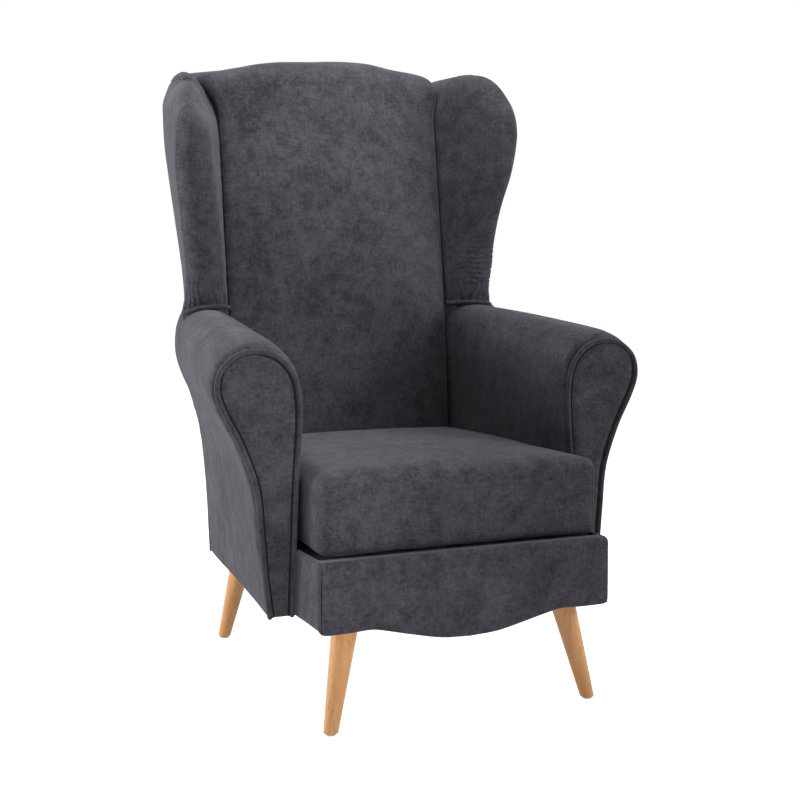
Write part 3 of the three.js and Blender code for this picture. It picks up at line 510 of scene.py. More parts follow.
def stitch_row(
    path: Sequence[Vector], pitch: float, length: float, radius: float
) -> bmesh.types.BMesh:
    """Return a row of separate stitches along a path.

    Args:
        path: The points that the row follows.
        pitch: The distance from one stitch to the next.
        length: The length of a stitch.
        radius: The thread's radius.

    Returns:
        One mesh of all the stitches.
    """
    stitches = []
    walked = 0.0
    due = pitch
    for before, after in zip(path, path[1:]):
        step = (after - before).length
        while walked + step >= due:
            middle = before.lerp(after, (due - walked) / step)
            reach = (after - before).normalized() * (length / 2 - radius)
            stitches.append(tube([middle - reach, middle, middle + reach], radius, 6))
            due += pitch
        walked += step
    return joined(stitches)


def closed_up(bm: bmesh.types.BMesh) -> bmesh.types.BMesh:
    """Weld a mesh's doubles and turn its faces outwards."""
    bmesh.ops.remove_doubles(bm, verts=bm.verts, dist=WELD)
    bmesh.ops.recalc_face_normals(bm, faces=bm.faces)
    return bm


def joined(parts: Iterable[bmesh.types.BMesh]) -> bmesh.types.BMesh:
    """Return one mesh that holds several, and free those.

    Args:
        parts: The meshes, which are freed.

    Returns:
        The whole.
    """
    whole = bmesh.new()
    for part in parts:
        scratch = bpy.data.meshes.new("scratch")
        part.to_mesh(scratch)
        part.free()
        whole.from_mesh(scratch)
        bpy.data.meshes.remove(scratch)
    return whole


def cloth_map(mesh: bpy.types.Mesh) -> None:
    """Lay the weave's map over a mesh, in metres, by the way each face looks.

    Args:
        mesh: The mesh, which gets a layer named weave.
    """
    layer = mesh.uv_layers.new(name="weave")
    for polygon in mesh.polygons:
        x, y, z = (abs(part) for part in polygon.normal)
        if z > max(x, y) * 1.1:
            axes = (0, 1)
        else:
            axes = (1, 2) if x > y else (0, 2)
        for loop in polygon.loop_indices:
            point = mesh.vertices[mesh.loops[loop].vertex_index].co
            layer.data[loop].uv = (point[axes[0]], point[axes[1]])


def piece_from(
    name: str,
    bm: bmesh.types.BMesh,
    material: bpy.types.Material,
    nodes: Sequence[str] = (),
    crisp: float | None = None,
) -> bpy.types.Object:
    """Turn a mesh into a dressed piece that rides with the chair.

    Args:
        name: The piece's name.
        bm: Its mesh, which is freed.
        material: Its finish.
        nodes: CAD nodes that it replaces.
        crisp: Angle past which an edge stays sharp, or None for an all-soft piece.

    Returns:
        The new object.
    """
    mesh = bpy.data.meshes.new(name)
    bm.to_mesh(mesh)
    bm.free()
    mesh.polygons.foreach_set("use_smooth", [True] * len(mesh.polygons))
    if crisp is not None:
        mesh.set_sharp_from_angle(angle=crisp)
    cloth_map(mesh)
    mesh.materials.append(material)
    piece = bpy.data.objects.new(name, mesh)
    bpy.context.scene.collection.objects.link(piece)
    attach(piece, "root")
    if nodes:
        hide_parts(*nodes)
    LOG.info("%s: %d faces", name, len(mesh.polygons))
    return piece


def ruffled(
    bm: bmesh.types.BMesh, lift: Callable[[Vector, Vector], float]
) -> bmesh.types.BMesh:
    """Move each point along its normal by a function of its place and normal."""
    bm.normal_update()
    moves = [(vert, vert.normal * lift(vert.co, vert.normal)) for vert in bm.verts]
    for vert, move in moves:
        vert.co += move
    return bm


@dataclass(frozen=True)
class Stuffing:
    """Fills a closed cover by a cloth simulation and keeps its moves small."""

    pressure: float = 4.0
    frames: int = 20
    reach: float = 0.010
    slack: float = 0.0

    def fill(self, piece: bpy.types.Object) -> None:
        """Simulate the cover and keep the result in its mesh.

        Args:
            piece: The cover.
        """
        rest = [vert.co.copy() for vert in piece.data.vertices]
        stuffing = piece.modifiers.new("stuffing", "CLOTH")
        settings = stuffing.settings
        settings.use_pressure = True
        settings.uniform_pressure_force = self.pressure
        settings.effector_weights.gravity = 0
        settings.shrink_min = -self.slack
        stuffing.point_cache.frame_start = 1
        stuffing.point_cache.frame_end = self.frames
        scene = bpy.context.scene
        for frame_number in range(1, self.frames + 1):
            scene.frame_set(frame_number)
        filled = piece.evaluated_get(bpy.context.evaluated_depsgraph_get()).data
        moves = [vert.co - start for vert, start in zip(filled.vertices, rest)]
        piece.modifiers.remove(stuffing)
        scene.frame_set(1)
        for vert, start, move in zip(piece.data.vertices, rest, moves):
            far = move.length
            if far > 0:
                move *= self.reach * math.tanh(far / self.reach) / far
            vert.co = start + move
        piece.data.update()


# Finishes


class Desk:
    """Places nodes in one node tree and joins them."""

    def __init__(self, tree: bpy.types.NodeTree) -> None:
        """Work on an emptied node tree."""
        self.tree = tree
        tree.nodes.clear()

    def add(self, kind: str, **values: object) -> bpy.types.Node:
        """Add a node, with its settings given by name."""
        node = self.tree.nodes.new(kind)
        for name, value in values.items():
            setattr(node, name, value)
        return node

    def link(self, source: bpy.types.NodeSocket, target: bpy.types.NodeSocket) -> None:
        """Join an output to an input."""
        self.tree.links.new(source, target)

    def feed(self, node: bpy.types.Node, **values: object) -> bpy.types.Node:
        """Set or link a node's inputs, named with underscores for spaces."""
        for name, value in values.items():
            socket = node.inputs[name.replace("_", " ")]
            if isinstance(value, bpy.types.NodeSocket):
                self.link(value, socket)
            else:
                socket.default_value = value
        return node

    def math(self, operation: str, *values: object) -> bpy.types.NodeSocket:
        """Return the result of a math node on up to three values."""
        node = self.add("ShaderNodeMath", operation=operation)
        for socket, value in zip(node.inputs, values):
            if isinstance(value, bpy.types.NodeSocket):
                self.link(value, socket)
            else:
                socket.default_value = value
        return node.outputs[0]

    def noise(self, vector: bpy.types.NodeSocket, **values: object) -> bpy.types.NodeSocket:
        """Return a noise texture's value on a vector."""
        return self.feed(self.add("ShaderNodeTexNoise"), Vector=vector, **values).outputs["Fac"]

    def stretched(self, vector: bpy.types.NodeSocket, scale: Place) -> bpy.types.NodeSocket:
        """Return a vector scaled by a Mapping node."""
        return self.feed(self.add("ShaderNodeMapping"), Vector=vector, Scale=scale).outputs[0]

    def scaled(
        self, vector: bpy.types.NodeSocket, factor: bpy.types.NodeSocket
    ) -> bpy.types.NodeSocket:
        """Return a vector or a colour times a number."""
        node = self.add("ShaderNodeVectorMath", operation="SCALE")
        self.link(vector, node.inputs[0])
        self.link(factor, node.inputs["Scale"])
        return node.outputs[0]

    def spread(
        self, value: bpy.types.NodeSocket, start: float, end: float, low: float, high: float
    ) -> bpy.types.NodeSocket:
        """Return a value carried from one range to another, and held there."""
        node = self.add("ShaderNodeMapRange")
        for socket, number in zip(node.inputs[1:5], (start, end, low, high)):
            socket.default_value = number
        self.link(value, node.inputs[0])
        return node.outputs[0]

    def blend(
        self, share: object, first: object, second: object, mode: str = "MIX"
    ) -> bpy.types.NodeSocket:
        """Return two colours mixed by a share.

        Args:
            share: A number or a socket.
            first: The colour at 0, or its socket.
            second: The colour at 1, or its socket.
            mode: The way of mixing.

        Returns:
            The mixed colour's socket.
        """
        node = self.add("ShaderNodeMix", data_type="RGBA", blend_type=mode)
        for index, value in ((0, share), (6, first), (7, second)):
            if isinstance(value, bpy.types.NodeSocket):
                self.link(value, node.inputs[index])
            elif isinstance(value, tuple):
                node.inputs[index].default_value = (*value, 1)
            else:
                node.inputs[index].default_value = value
        return node.outputs[2]


def new_group(name: str, inputs: dict[str, object], outputs: dict[str, str]) -> Desk:
    """Make a node group with named inputs and outputs.

    Args:
        name: The group's name.
        inputs: The default of each input: a number, a colour, or "vector".
        outputs: The kind of socket of each output.

    Returns:
        A desk on the group's tree.
    """
    tree = bpy.data.node_groups.new(name, "ShaderNodeTree")
    desk = Desk(tree)
    for label, value in inputs.items():
        if value == "vector":
            tree.interface.new_socket(label, in_out="INPUT", socket_type="NodeSocketVector")
        elif isinstance(value, tuple):
            socket = tree.interface.new_socket(
                label, in_out="INPUT", socket_type="NodeSocketColor"
            )
            socket.default_value = (*value, 1)
        else:
            socket = tree.interface.new_socket(
                label, in_out="INPUT", socket_type="NodeSocketFloat"
            )
            socket.default_value = value
    for label, kind in outputs.items():
        tree.interface.new_socket(label, in_out="OUTPUT", socket_type=kind)
    return desk


def nap_group() -> bpy.types.NodeTree:
    """Build the cloudy shading of brushed pile.

    Returns:
        A group that mixes a dark and a light tone in soft, uneven patches.
    """
    desk = new_group(
        "brushed_nap",
        {"Vector": "vector", "Dark": (0.03, 0.03, 0.04), "Light": (0.09, 0.08, 0.1), "Depth": 1.0},
        {"Color": "NodeSocketColor", "Patch": "NodeSocketFloat"},
    )
    given = desk.add("NodeGroupInput")
    vector = given.outputs["Vector"]
    broad = desk.noise(vector, Scale=9.0, Detail=2.0, Roughness=0.5)
    patch = desk.noise(vector, Scale=38.0, Detail=3.0, Roughness=0.6, Distortion=0.15)
    fleck = desk.noise(vector, Scale=170.0, Detail=2.0, Roughness=0.6)
    mixed = desk.math(
        "ADD",
        desk.math("MULTIPLY", broad, 0.24),
        desk.math("ADD", desk.math("MULTIPLY", patch, 0.4), desk.math("MULTIPLY", fleck, 0.36)),
    )
    clouds = desk.spread(mixed, 0.385, 0.615, 0.0, 1.0)
    swing = desk.math("MULTIPLY", desk.math("SUBTRACT", clouds, 0.5), given.outputs["Depth"])
    kept = desk.math("ADD", swing, 0.5)
    result = desk.add("NodeGroupOutput")
    desk.link(desk.blend(kept, given.outputs["Dark"], given.outputs["Light"]), result.inputs[0])
    desk.link(kept, result.inputs[1])
    return desk.tree


def weave_group() -> bpy.types.NodeTree:
    """Build the crossed, slightly slubby yarns of a plain weave.

    Returns:
        A group that gives the yarns' tone, from 0 to 1, and their height.
    """
    desk = new_group(
        "cross_weave",
        {"Vector": "vector", "Yarns": 700.0},
        {"Tone": "NodeSocketFloat", "Height": "NodeSocketFloat"},
    )
    given = desk.add("NodeGroupInput")
    vector = desk.scaled(given.outputs["Vector"], given.outputs["Yarns"])
    weft = desk.noise(desk.stretched(vector, (0.09, 0.8, 0)), Scale=1.0, Detail=2.0, Roughness=0.6)
    warp = desk.noise(desk.stretched(vector, (0.8, 0.09, 0)), Scale=1.0, Detail=2.0, Roughness=0.6)
    pile = desk.noise(desk.stretched(vector, (0.7, 0.7, 0)), Scale=1.0, Detail=1.0)
    tone = desk.math(
        "ADD", desk.math("MULTIPLY", desk.math("ADD", weft, warp), 0.4),
        desk.math("MULTIPLY", pile, 0.2),
    )
    result = desk.add("NodeGroupOutput")
    desk.link(desk.spread(tone, 0.34, 0.66, 0.0, 1.0), result.inputs[0])
    desk.link(desk.math("MAXIMUM", weft, warp), result.inputs[1])
    return desk.tree


def grain_group() -> bpy.types.NodeTree:
    """Build long wood grain with short dark flecks, along the third axis.

    Returns:
        A group that gives the grain's tone and the flecks, from 0 to 1.
    """
    desk = new_group(
        "long_grain",
        {"Vector": "vector", "Fineness": 1.0},
        {"Tone": "NodeSocketFloat", "Fleck": "NodeSocketFloat"},
    )
    given = desk.add("NodeGroupInput")
    vector = desk.scaled(given.outputs["Vector"], given.outputs["Fineness"])
    rings = desk.noise(
        desk.stretched(vector, (60, 60, 4)), Scale=1.0, Detail=3.0, Roughness=0.55, Distortion=0.6
    )
    pores = desk.noise(desk.stretched(vector, (420, 420, 34)), Scale=1.0, Detail=1.0)
    result = desk.add("NodeGroupOutput")
    desk.link(desk.spread(rings, 0.3, 0.7, 0.0, 1.0), result.inputs[0])
    desk.link(desk.spread(pores, 0.63, 0.72, 0.0, 1.0), result.inputs[1])
    return desk.tree


def wear_group() -> bpy.types.NodeTree:
    """Build the uneven wear of a plain surface.

    Returns:
        A group that mixes a fresh and a worn tone, and gives a finer unevenness.
    """
    desk = new_group(
        "fine_wear",
        {"Vector": "vector", "Fresh": (0.5, 0.5, 0.5), "Worn": (0.4, 0.4, 0.4), "Scale": 60.0},
        {"Color": "NodeSocketColor", "Fine": "NodeSocketFloat"},
    )
    given = desk.add("NodeGroupInput")
    vector, scale = given.outputs["Vector"], given.outputs["Scale"]
    broad = desk.noise(vector, Scale=scale, Detail=4.0, Roughness=0.6)
    fine = desk.noise(vector, Scale=desk.math("MULTIPLY", scale, 9.0), Detail=2.0)
    wear = desk.spread(broad, 0.35, 0.7, 0.0, 1.0)
    result = desk.add("NodeGroupOutput")
    desk.link(desk.blend(wear, given.outputs["Fresh"], given.outputs["Worn"]), result.inputs[0])
    desk.link(fine, result.inputs[1])
    return desk.tree


class Groups:
    """The node groups that more than one finish uses, each built once."""

    def __init__(self) -> None:
        """Build the groups."""
        self.nap = nap_group()
        self.weave = weave_group()
        self.grain = grain_group()
        self.wear = wear_group()


def start_material(name: str) -> tuple[Desk, bpy.types.Node]:
    """Return a desk on a new material and its surface shader."""
    material = bpy.data.materials.new(name)
    material.use_nodes = True
    desk = Desk(material.node_tree)
    shader = desk.add("ShaderNodeBsdfPrincipled")
    desk.link(shader.outputs[0], desk.add("ShaderNodeOutputMaterial").inputs["Surface"])
    return desk, shader


def place_group(desk: Desk, tree: bpy.types.NodeTree, **values: object) -> bpy.types.Node:
    """Place a group in a material and set its inputs."""
    node = desk.add("ShaderNodeGroup", node_tree=tree)
    return desk.feed(node, **values)


def bumped(
    desk: Desk, shader: bpy.types.Node, height: bpy.types.NodeSocket, strength: float,
    distance: float, below: bpy.types.NodeSocket | None = None,
) -> bpy.types.NodeSocket:
    """Add a bump to a shader, over an earlier one if given, and return its normal."""
    node = desk.add("ShaderNodeBump")
    desk.feed(node, Strength=strength, Distance=distance, Height=height)
    if below is not None:
        desk.link(below, node.inputs["Normal"])
    desk.link(node.outputs[0], shader.inputs["Normal"])
    return node.outputs[0]


@dataclass(frozen=True)
class Chenille:
    """Brushed, short-piled cloth with cloudy nap over a fine cross weave."""

    name: str
    dark: Tone
    light: Tone
    depth: float = 1.0
    yarns: float = 460.0
    sheen: float = 0.18

    def material(self, groups: Groups) -> bpy.types.Material:
        """Build the cloth's material.

        Args:
            groups: The shared node groups.

        Returns:
            The new material.
        """
        desk, shader = start_material(self.name)
        place = desk.add("ShaderNodeTexCoord")
        nap = place_group(
            desk, groups.nap, Vector=place.outputs["Object"],
            Dark=(*self.dark, 1), Light=(*self.light, 1), Depth=self.depth,
        )
        weave = place_group(desk, groups.weave, Vector=place.outputs["UV"], Yarns=self.yarns)
        yarn = desk.spread(weave.outputs["Tone"], 0.0, 1.0, 0.72, 1.28)
        desk.link(desk.scaled(nap.outputs["Color"], yarn), shader.inputs["Base Color"])
        rough = desk.spread(nap.outputs["Patch"], 0.0, 1.0, 0.98, 0.86)
        desk.link(rough, shader.inputs["Roughness"])
        desk.feed(
            shader, Specular_IOR_Level=0.25, Sheen_Weight=self.sheen, Sheen_Roughness=0.45,
            Sheen_Tint=(0.75, 0.72, 0.8, 1),
        )
        first = bumped(desk, shader, weave.outputs["Height"], 0.35, 0.0007)
        bumped(desk, shader, nap.outputs["Patch"], 0.12, 0.0015, first)
        return bpy.data.materials[self.name]


class GrainWay(Enum):
    """The way that a timber's grain runs."""

    UPRIGHT = "upright"
    ACROSS = "across"


@dataclass(frozen=True)
class Timber:
    """Wood with long grain, from a pale and a deep tone."""

    name: str
    pale: Tone
    deep: Tone
    fleck: Tone
    roughness: float = 0.5
    coat: float = 0.0
    runs: GrainWay = GrainWay.UPRIGHT

    def material(self, groups: Groups) -> bpy.types.Material:
        """Build the wood's material.

        Args:
            groups: The shared node groups.

        Returns:
            The new material.
        """
        desk, shader = start_material(self.name)
        place = desk.add("ShaderNodeTexCoord").outputs["Object"]
        if self.runs is GrainWay.ACROSS:
            turned = desk.add("ShaderNodeMapping")
            turned.inputs["Rotation"].default_value = (0, math.pi / 2, 0)
            desk.link(place, turned.inputs["Vector"])
            place = turned.outputs[0]
        grain = place_group(desk, groups.grain, Vector=place, Fineness=1.0)
        wood = desk.blend(grain.outputs["Tone"], self.deep, self.pale)
        marked = desk.blend(desk.math("MULTIPLY", grain.outputs["Fleck"], 0.55), wood, self.fleck)
        desk.link(marked, shader.inputs["Base Color"])
        rough = desk.spread(
            grain.outputs["Tone"], 0.0, 1.0, self.roughness + 0.08, self.roughness - 0.04
        )
        desk.link(rough, shader.inputs["Roughness"])
        desk.feed(shader, Coat_Weight=self.coat, Coat_Roughness=0.25)
        bumped(desk, shader, grain.outputs["Tone"], 0.12, 0.0004)
        return bpy.data.materials[self.name]


@dataclass(frozen=True)
class Plain:
    """Metal, plastic, foam or coarse cloth, with fine uneven wear."""

    name: str
    tone: Tone
    worn: Tone
    roughness: float
    metallic: float = 0.0
    scale: float = 60.0
    relief: float = 0.1

    def material(self, groups: Groups) -> bpy.types.Material:
        """Build the material.

        Args:
            groups: The shared node groups.

        Returns:
            The new material.
        """
        desk, shader = start_material(self.name)
        place = desk.add("ShaderNodeTexCoord").outputs["Object"]
        wear = place_group(
            desk, groups.wear, Vector=place, Fresh=(*self.tone, 1), Worn=(*self.worn, 1),
            Scale=self.scale,
        )
        desk.link(wear.outputs["Color"], shader.inputs["Base Color"])
        fine = wear.outputs["Fine"]
        rough = desk.spread(fine, 0.3, 0.7, self.roughness - 0.08, self.roughness + 0.08)
        desk.link(rough, shader.inputs["Roughness"])
        desk.feed(shader, Metallic=self.metallic)
        bumped(desk, shader, fine, self.relief, 0.0005)
        return bpy.data.materials[self.name]


@dataclass(frozen=True)
class Woven:
    """Flat tape or deck cloth with a plain, even weave."""

    name: str
    tone: Tone
    light: Tone
    yarns: float = 500.0

    def material(self, groups: Groups) -> bpy.types.Material:
        """Build the cloth's material.

        Args:
            groups: The shared node groups.

        Returns:
            The new material.
        """
        desk, shader = start_material(self.name)
        place = desk.add("ShaderNodeTexCoord")
        weave = place_group(desk, groups.weave, Vector=place.outputs["UV"], Yarns=self.yarns)
        desk.link(
            desk.blend(weave.outputs["Tone"], self.tone, self.light), shader.inputs["Base Color"]
        )
        desk.link(
            desk.spread(weave.outputs["Tone"], 0.0, 1.0, 0.95, 0.85), shader.inputs["Roughness"]
        )
        desk.feed(shader, Specular_IOR_Level=0.3)
        bumped(desk, shader, weave.outputs["Height"], 0.5, 0.0006)
        return bpy.data.materials[self.name]


class Palette:
    """Every finish on the chair."""

    def __init__(self) -> None:
        """Build the materials."""
        groups = Groups()
        self.cloth = Chenille(
            "charcoal_chenille", (0.040, 0.037, 0.047), (0.094, 0.089, 0.106)
        ).material(groups)
        self.piping = Chenille(
            "piping_chenille", (0.038, 0.035, 0.045), (0.086, 0.081, 0.097), 0.8
        ).material(groups)
        # Near-black cloth for the tubes laid along the seams: painted shadow in the seams'
        # creases, not a thread.
        self.seam = Chenille(
            "seam_thread", (0.006, 0.006, 0.007), (0.012, 0.011, 0.013), 0.5, 900.0, 0.02
        ).material(groups)
        self.stitch = Chenille(
            "stitch_thread", (0.16, 0.155, 0.175), (0.26, 0.25, 0.28), 0.5, 900.0, 0.1
        ).material(groups)
        self.beech = Timber(
            "oiled_beech", (0.90, 0.46, 0.175), (0.72, 0.33, 0.11), (0.34, 0.14, 0.05), 0.42, 0.15
        ).material(groups)
        self.frame_wood = Timber(
            "frame_timber", (0.62, 0.47, 0.28), (0.48, 0.33, 0.17), (0.3, 0.18, 0.08), 0.75
        ).material(groups)
        self.rail_wood = Timber(
            "rail_timber", (0.62, 0.47, 0.28), (0.48, 0.33, 0.17), (0.3, 0.18, 0.08), 0.75,
            runs=GrainWay.ACROSS,
        ).material(groups)
        self.steel = Plain(
            "zinc_steel", (0.42, 0.43, 0.45), (0.30, 0.31, 0.33), 0.38, 1.0
        ).material(groups)
        self.nylon = Plain(
            "nylon_glide", (0.72, 0.71, 0.68), (0.6, 0.59, 0.56), 0.5
        ).material(groups)
        self.foam = Plain(
            "cushion_foam", (0.80, 0.74, 0.55), (0.72, 0.65, 0.45), 0.92, 0.0, 120.0, 0.5
        ).material(groups)
        self.webbing = Woven(
            "jute_webbing", (0.20, 0.15, 0.09), (0.38, 0.30, 0.19)
        ).material(groups)
        self.black_cloth = Woven(
            "black_cambric", (0.010, 0.010, 0.011), (0.028, 0.028, 0.030), 900.0
        ).material(groups)


# Upholstery


@dataclass
class Arms:
    """The two scroll arms: their upholstery, front facings and piping."""

    around: int = 108
    foot_points: int = 8
    along: int = 66
    crowding: float = 1.25
    rear_level: float = 0.4
    swell_start: float = 0.65
    facing_points: int = 121
    facing_thickness: float = 0.008
    facing_dome: float = 0.005
    facing_round: float = 0.026
    facing_top_share: float = 0.425
    piping_points: int = 140
    piping_radius: float = 0.0045
    piping_proud: float = 0.0015
    # The near-black tubes beside the piping paint the shadow in its creases.
    seam_shade_radius: float = 0.0016
    seam_shade_places: tuple[Pair, ...] = ((-0.0005, 0.0062), (0.0062, 0.0030))
    pucker: Ripple = Ripple(0.00176, 0.013)
    pucker_reach: float = 0.022
    slack: Ripple = Ripple(0.0009, 0.11, 8.0)
    facing_slack: Ripple = Ripple(0.0006, 0.05)
    crease_height: float = 0.0028
    crease_reach: float = 0.020
    creases: tuple[Place, ...] = (
        (0.4600, -0.9, 0.0030), (0.4480, -0.7, 0.0016), (0.4340, -0.5, 0.0010),
        (0.5165, -0.2, 0.0020),
    )
    swell_curve: Curve = Curve(
        ((0, -0.0035), (0.0042, 0.0026), (0.014, 0.0062), (0.05, 0.007), (0.6, 0.0038))
    )

    def outline(self, y: float, points: int) -> list[Pair]:
        """Return the arm's open outline at a depth, from inner to outer foot."""
        return [LINES.arm_point(y, index / (points - 1)) for index in range(points)]

    def ring(self, side: Side, share: float) -> list[Vector]:
        """Return the arm pad's closed ring at a share of its length.

        Args:
            side: The sitter's side.
            share: How far from front to rear.

        Returns:
            The ring's points.
        """
        front = LINES.facing_y + self.facing_thickness + FITTED
        far = LINES.rear_y(self.rear_level) - LINES.panel_depth - FITTED
        depth = share**self.crowding
        y = mix(front, far, depth)
        open_points = self.around - self.foot_points
        outline = self.outline(y, open_points)
        amount = self.swell_curve(y - front)
        height = LINES.facing_top - LINES.arm_bottom
        top = max(range(open_points), key=lambda index: outline[index][1])
        amounts = []
        for index, (_, z) in enumerate(outline):
            rise = (z - LINES.arm_bottom) / height
            fade = (rise - self.swell_start) / 0.3 if index < top else rise * 2
            amounts.append(amount * eased(fade))
        moved = swell(outline, amounts)
        (foot_x, foot_z), (out_x, out_z) = moved[0], moved[-1]
        steps = self.foot_points + 1
        base = [
            (mix(out_x, foot_x, index / steps), mix(out_z, foot_z, index / steps))
            for index in range(1, steps)
        ]
        ring = []
        for x, z in [*moved, *base]:
            wall = LINES.rear_y(z) - LINES.panel_depth - FITTED
            ring.append(side.place(Vector((x, mix(front, wall, depth), z))))
        return ring

    def pad(self, side: Side) -> bmesh.types.BMesh:
        """Return one arm's upholstery, with small gathers behind the piping.

        Args:
            side: The sitter's side.

        Returns:
            The closed mesh.
        """
        bm = lofted(lambda share: self.ring(side, share), self.around, self.along)
        front = LINES.facing_y + self.facing_thickness

        def lift(place: Vector, normal: Vector) -> float:
            """Return the cloth's unevenness at a place."""
            near = place.y - front
            if near < 0.002 or abs(normal.y) > 0.8:
                return 0.0
            edge = math.exp(-near / self.pucker_reach) * eased(near / 0.008)
            drawn = Vector((0, place.y * 0.35, place.z * 1.6))
            pucker = edge * self.pucker.at(drawn, 3.0 * side.value)
            return pucker + self.slack.at(place, side.value) * eased(near / 0.03)

        return ruffled(bm, lift)

    def inset_outline(self, inset: float, points: int) -> list[Pair]:
        """Return the front outline moved inwards, with its ends on the arm's foot."""
        outline = self.outline(LINES.facing_y, points)
        moved = swell(outline, [-inset] * points)
        for end in (0, -1):
            moved[end] = (moved[end][0], LINES.arm_bottom)
        return moved

    def facing(self, side: Side) -> bmesh.types.BMesh:
        """Return the domed panel on the front of one arm.

        Args:
            side: The sitter's side.

        Returns:
            The closed mesh.
        """
        inset = 2 * self.piping_radius - self.piping_proud + 2 * FITTED
        moved = self.inset_outline(inset, self.facing_points)
        top_share = self.facing_top_share
        front, rear = LINES.facing_y + self.facing_dome, LINES.facing_y + self.facing_thickness

        def edge(share: float) -> Vector:
            """Return a point on the facing's outline."""
            return Vector(along_points(moved, share))

        def place(cube: Vector) -> Vector:
            """Return the panel's point for a point of the cube.

            Args:
                cube: The point of a cube from -1 to 1.

            Returns:
                The panel's point.
            """
            u, v = (cube.x + 1) / 2, (cube.z + 1) / 2
            left, right = edge(v * top_share), edge(1 - v * top_share)
            top = edge(mix(top_share, 1 - top_share, u))
            top_left, top_right = edge(top_share), edge(1 - top_share)
            foot_left, foot_right = edge(0), edge(1)
            across = left.lerp(right, u)
            base = foot_left.lerp(foot_right, u)
            upward = base.lerp(top, v)
            corners = base.lerp(top_left.lerp(top_right, u), v)
            flat = across + upward - corners
            width = (right - left).length
            near = min(u, 1 - u) * width
            near = min(near, (1 - v) * 0.42 + 0.002 + 0.03 * (1 - abs(2 * u - 1)))
            if cube.y > 0:
                return side.place(Vector((flat.x, rear, flat.y)))
            y = front - self.facing_dome * quarter_round(near, self.facing_round)
            y += self.facing_slack.at(Vector((flat.x, 0, flat.y)), 5.0 * side.value)
            if side is Side.RIGHT:
                y += self.pulls(flat.y, u * width)
            return side.place(Vector((flat.x, y, flat.y)))

        return shaped((60, 1, 190), place)

    def pulls(self, z: float, inside: float) -> float:
        """Return the depth of the pulls in the cloth beside the inner piping."""
        depth = 0.0
        for start, slope, deep in self.creases:
            off = (z - start - slope * inside) / self.crease_height
            depth += deep * math.exp(-off * off - (inside / self.crease_reach) ** 2)
        return depth

    def piping_path(self, side: Side, inset: float, y: float) -> list[Vector]:
        """Return a path that follows the facing's outline."""
        moved = self.inset_outline(inset, self.piping_points)
        return [side.place(Vector((x, y, z))) for x, z in moved]

    def build(self, palette: Palette) -> None:
        """Make both arms.

        Args:
            palette: The finishes.
        """
        inset = self.piping_radius - self.piping_proud
        for side in Side:
            pad = piece_from(
                f"{side.label}_arm_upholstery", self.pad(side), palette.cloth,
                [f"{side.label}_arm_pad"],
            )
            facing = piece_from(
                f"{side.label}_arm_front", self.facing(side), palette.cloth,
                [f"{side.label}_arm_facing"],
            )
            path = self.piping_path(side, inset, LINES.facing_y + inset)
            piece_from(
                f"{side.label}_arm_cord", tube(path, self.piping_radius), palette.piping,
                [f"{side.label}_arm_piping"],
            )
            # Near-black tubes in the creases beside the piping: painted seam shadow.
            seams = []
            for offset, depth in self.seam_shade_places:
                line = self.piping_path(side, inset + offset, LINES.facing_y + depth)
                seams.append(tube(line, self.seam_shade_radius, SEAM_SHADE_SIDES))
            piece_from(f"{side.label}_arm_seam_lines", joined(seams), palette.seam)


